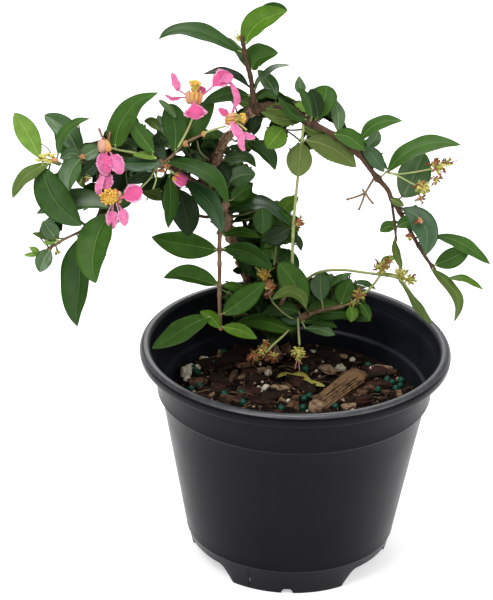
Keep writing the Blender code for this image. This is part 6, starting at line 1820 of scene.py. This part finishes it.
for k in range(230):    # the rest of the bark
    r, a = reach / MM * 0.95 * math.sqrt(SOIL_RNG.random()), SOIL_RNG.uniform(0, 2 * math.pi)
    x, y = r * math.cos(a) * MM, r * math.sin(a) * MM
    long = SOIL_RNG.uniform(1.8, 6.5)
    if math.hypot(x, y) / MM + long > reach / MM:
        continue
    chip((x, y, ground(x, y) + SOIL_RNG.uniform(-0.3, 0.9) * MM), (long, long * SOIL_RNG.uniform(0.22, 0.55), SOIL_RNG.uniform(0.6, 1.3)),
         (SOIL_RNG.uniform(0, 6.28), SOIL_RNG.uniform(-0.3, 0.3), SOIL_RNG.uniform(-0.5, 0.5)),
         [M_BROWN, M_RED, M_DUSK, M_DUSK, M_DARK, M_FIBRE, M_DARK, M_TAN][int(SOIL_RNG.integers(8)) if k % 2 else 1 if k % 8 == 0 else 2], 0.5, 0.22,
         k * 1.1, 2,
         taper=SOIL_RNG.uniform(0, 0.6))
for k in range(1300):    # crumbs
    r, a = reach / MM * 0.97 * math.sqrt(SOIL_RNG.random()), SOIL_RNG.uniform(0, 2 * math.pi)
    x, y = r * math.cos(a) * MM, r * math.sin(a) * MM
    s1 = SOIL_RNG.uniform(0.35, 1.1) * MM
    lump(soil_heap, (x, y, ground(x, y) + s1 * 0.4), (s1, s1 * SOIL_RNG.uniform(0.5, 0.9), s1 * SOIL_RNG.uniform(0.6, 1.4)),
         SOIL_RNG.normal(size=3), [M_DARK, M_DARK, M_DUSK, M_DUSK, M_RED, M_BROWN, M_DARK, M_TAN, M_DARK, M_DUSK][int(SOIL_RNG.integers(10))], 1, 0.25, seed=k)
for x, y, r in ((178, 374, 3.6), (183, 369, 2.6), (187, 379, 2.6), (174, 371, 2.2), (186, 366, 1.8), (202, 359, 2.3), (197.5, 367.5, 2.0),
                (213, 378, 1.8), (259, 390, 2.2), (266, 388.5, 2.2), (268, 374, 1.9), (352, 362, 2.2), (340, 368.5, 2.6), (343, 369, 1.6),
                (372, 370, 1.7), (370, 375, 1.3), (307, 411, 1.2), (286, 396, 1.0), (327, 357, 1.5), (334, 353, 1.3), (322, 361, 1.2),
                (394, 367, 1.0), (260, 336, 1.3), (243, 392, 0.9), (394, 388, 0.8), (352, 409, 1.0), (286, 365, 0.8)):
    lump(soil_heap, inside(at_view(x, y, r * 0.5), r * 1.15), (r * MM, r * 0.85 * MM, r * 0.75 * MM), SOIL_RNG.normal(size=3), M_PERLITE, 3, 0.20,
         seed=x * 0.1, scale=2.0)
for k in range(46):
    r, a = reach / MM * 0.95 * math.sqrt(SOIL_RNG.random()), SOIL_RNG.uniform(0, 2 * math.pi)
    x, y = r * math.cos(a) * MM, r * math.sin(a) * MM
    if y < 0.012 and k % 3:
        continue
    s1 = SOIL_RNG.uniform(0.5, 1.7) * MM
    lump(soil_heap, (x, y, ground(x, y) + s1 * 0.4), (s1, s1 * 0.85, s1 * 0.8), SOIL_RNG.normal(size=3), M_PERLITE, 2, 0.2, seed=k, scale=2.0)
PRILLS = [(217.5, 347.5), (224, 396.5), (243, 402.5), (303, 408), (309, 396), (305, 370), (392, 383), (401, 381), (396, 389.5),
          (378, 391), (197, 373), (335, 408), (241, 393), (304, 399), (387, 380.5), (400, 387), (281, 409), (193, 369)]
for k, (x, y) in enumerate(PRILLS):
    r = SOIL_RNG.uniform(1.75, 2.05)
    lump(soil_heap, inside(at_view(x, y, 1.0), r * 1.1), (r * MM, r * 0.97 * MM, r * 0.95 * MM), SOIL_RNG.normal(size=3), M_PRILL, 3, 0.04, seed=k)
for k in range(26):
    r, a = reach / MM * 0.93 * math.sqrt(SOIL_RNG.random()), SOIL_RNG.uniform(0, 2 * math.pi)
    x, y = r * math.cos(a) * MM, r * math.sin(a) * MM
    if -0.02 < y < 0.03 and -0.045 < x < 0.05:
        continue
    s1 = SOIL_RNG.uniform(1.7, 2.0) * MM
    lump(soil_heap, (x, y, ground(x, y) + 0.7 * MM), (s1, s1 * 0.97, s1 * 0.95), SOIL_RNG.normal(size=3), M_PRILL, 3, 0.04, seed=k)
for k in range(110):    # fibres and fine roots
    r, a = reach / MM * 0.9 * math.sqrt(SOIL_RNG.random()), SOIL_RNG.uniform(0, 2 * math.pi)
    x, y = r * math.cos(a) * MM, r * math.sin(a) * MM
    h, long = SOIL_RNG.uniform(0, 6.28), SOIL_RNG.uniform(2.5, 9.0) * MM
    pts3 = []
    for q in (-1, -0.3, 0.35, 1):
        px, py = x + math.cos(h) * long * q + SOIL_RNG.normal() * 0.5 * MM, y + math.sin(h) * long * q + SOIL_RNG.normal() * 0.5 * MM
        pts3.append((px, py, ground(px, py) + SOIL_RNG.uniform(0.3, 1.6) * MM))
    if max(math.hypot(q[0], q[1]) for q in pts3) > reach * 0.98:
        continue
    tube(soil_heap, spline(pts3, 14), SOIL_RNG.uniform(0.10, 0.22) * MM, 5, M_FIBRE if k % 3 else M_DUSK)
# the yellow curled leaf that lies on the mix
leaf_pts = [at_view(277, 379, 1.8), at_view(285, 376.5, 2.6), at_view(293, 378, 1.8), at_view(303, 381, 2.6), at_view(313, 386, 2.2),
            at_view(325, 387, 1.4)]
spine = spline(leaf_pts, 30)
t = np.linspace(0, 1, 30)
tangent = unit(np.gradient(spine, axis=0))
side = unit(np.cross(np.array([0.25, -0.75, 1.0]), tangent))
half = 2.5 * MM * np.maximum(0.07, np.sin(np.pi * t ** 0.9) ** 0.6) * (0.72 + 0.28 * np.cos(4 * np.pi * t + 0.6))
blade(soil_heap, spine, side, np.cross(tangent, side), half, 0.15, -0.35, 1, (M_LEAF, M_LEAF, M_TAN), cells=5, curl=0.8, wave=0.12,
      rib=(0.4, 0.15), thick=0.22)
soil = soil_heap.build("potting_mix", MIX)
soil.data.set_sharp_from_angle(angle=math.radians(50))
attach(soil, "root")
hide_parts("soil")
print("soil", soil_heap.triangles(), "pot", sum(len(p.vertices) - 2 for p in solid.polygons))

# ------------------------------------------------------------------- stage
floor_mesh = bpy.data.meshes.new("studio_floor")
bm = bmesh.new()
bmesh.ops.create_circle(bm, cap_ends=True, segments=96, radius=4.0)
bm.to_mesh(floor_mesh)
bm.free()
floor = bpy.data.objects.new("studio_floor", floor_mesh)
bpy.context.scene.collection.objects.link(floor)
floor_material = material("studio_white", (0.86, 0.86, 0.86), rough=0.75, spread=0.004, grain=3.0, bump=0.0, specular=0.2)
floor_shader = floor_material.node_tree.nodes["Principled BSDF"]
floor_shader.inputs["Emission Color"].default_value = (1, 1, 1, 1)
floor_shader.inputs["Emission Strength"].default_value = 0.48
floor_mesh.materials.append(floor_material)
floor.location.z = -0.0002
floor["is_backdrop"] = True

world = bpy.data.worlds.new("studio")
bpy.context.scene.world = world
world.use_nodes = True
world.node_tree.nodes["Background"].inputs["Color"].default_value = (1.0, 1.0, 1.0, 1)
world.node_tree.nodes["Background"].inputs["Strength"].default_value = 0.55


def lamp(name, at, towards, size, watts, colour=(1, 1, 1)):
    data = bpy.data.lights.new(name, "AREA")
    data.shape = "DISK"
    data.size = size
    data.energy = watts
    data.color = colour
    obj = bpy.data.objects.new(name, data)
    bpy.context.scene.collection.objects.link(obj)
    obj.location = at
    obj.rotation_mode = "QUATERNION"
    obj.rotation_quaternion = (Vector(towards) - Vector(at)).to_track_quat("-Z", "Y")
    return obj


lamp("key", (-0.55, -0.75, 1.25), (0, 0, 0.16), 0.7, 11.0)
lamp("fill", (0.95, -0.55, 0.75), (0, 0, 0.16), 0.9, 5.0)
lamp("top", (0.0, 0.10, 1.40), (0, 0, 0.14), 0.5, 7.0)
lamp("rear", (-0.2, 1.05, 0.8), (0, 0, 0.18), 0.8, 4.0)

scene = bpy.context.scene
scene.view_settings.view_transform = "Standard"
scene.view_settings.look = "None"
camera_data = bpy.data.cameras.new("camera")
camera_data.lens = FOCAL * 36.0 / HIGH
camera_data.sensor_width = 36.0
camera_data.clip_start = 0.05
camera_data.clip_end = 20.0
camera = bpy.data.objects.new("camera", camera_data)
scene.collection.objects.link(camera)
camera.matrix_world = Matrix(((RIGHT[0], UP[0], -AHEAD[0], EYE[0]), (RIGHT[1], UP[1], -AHEAD[1], EYE[1]),
                              (RIGHT[2], UP[2], -AHEAD[2], EYE[2]), (0, 0, 0, 1)))
scene.camera = camera
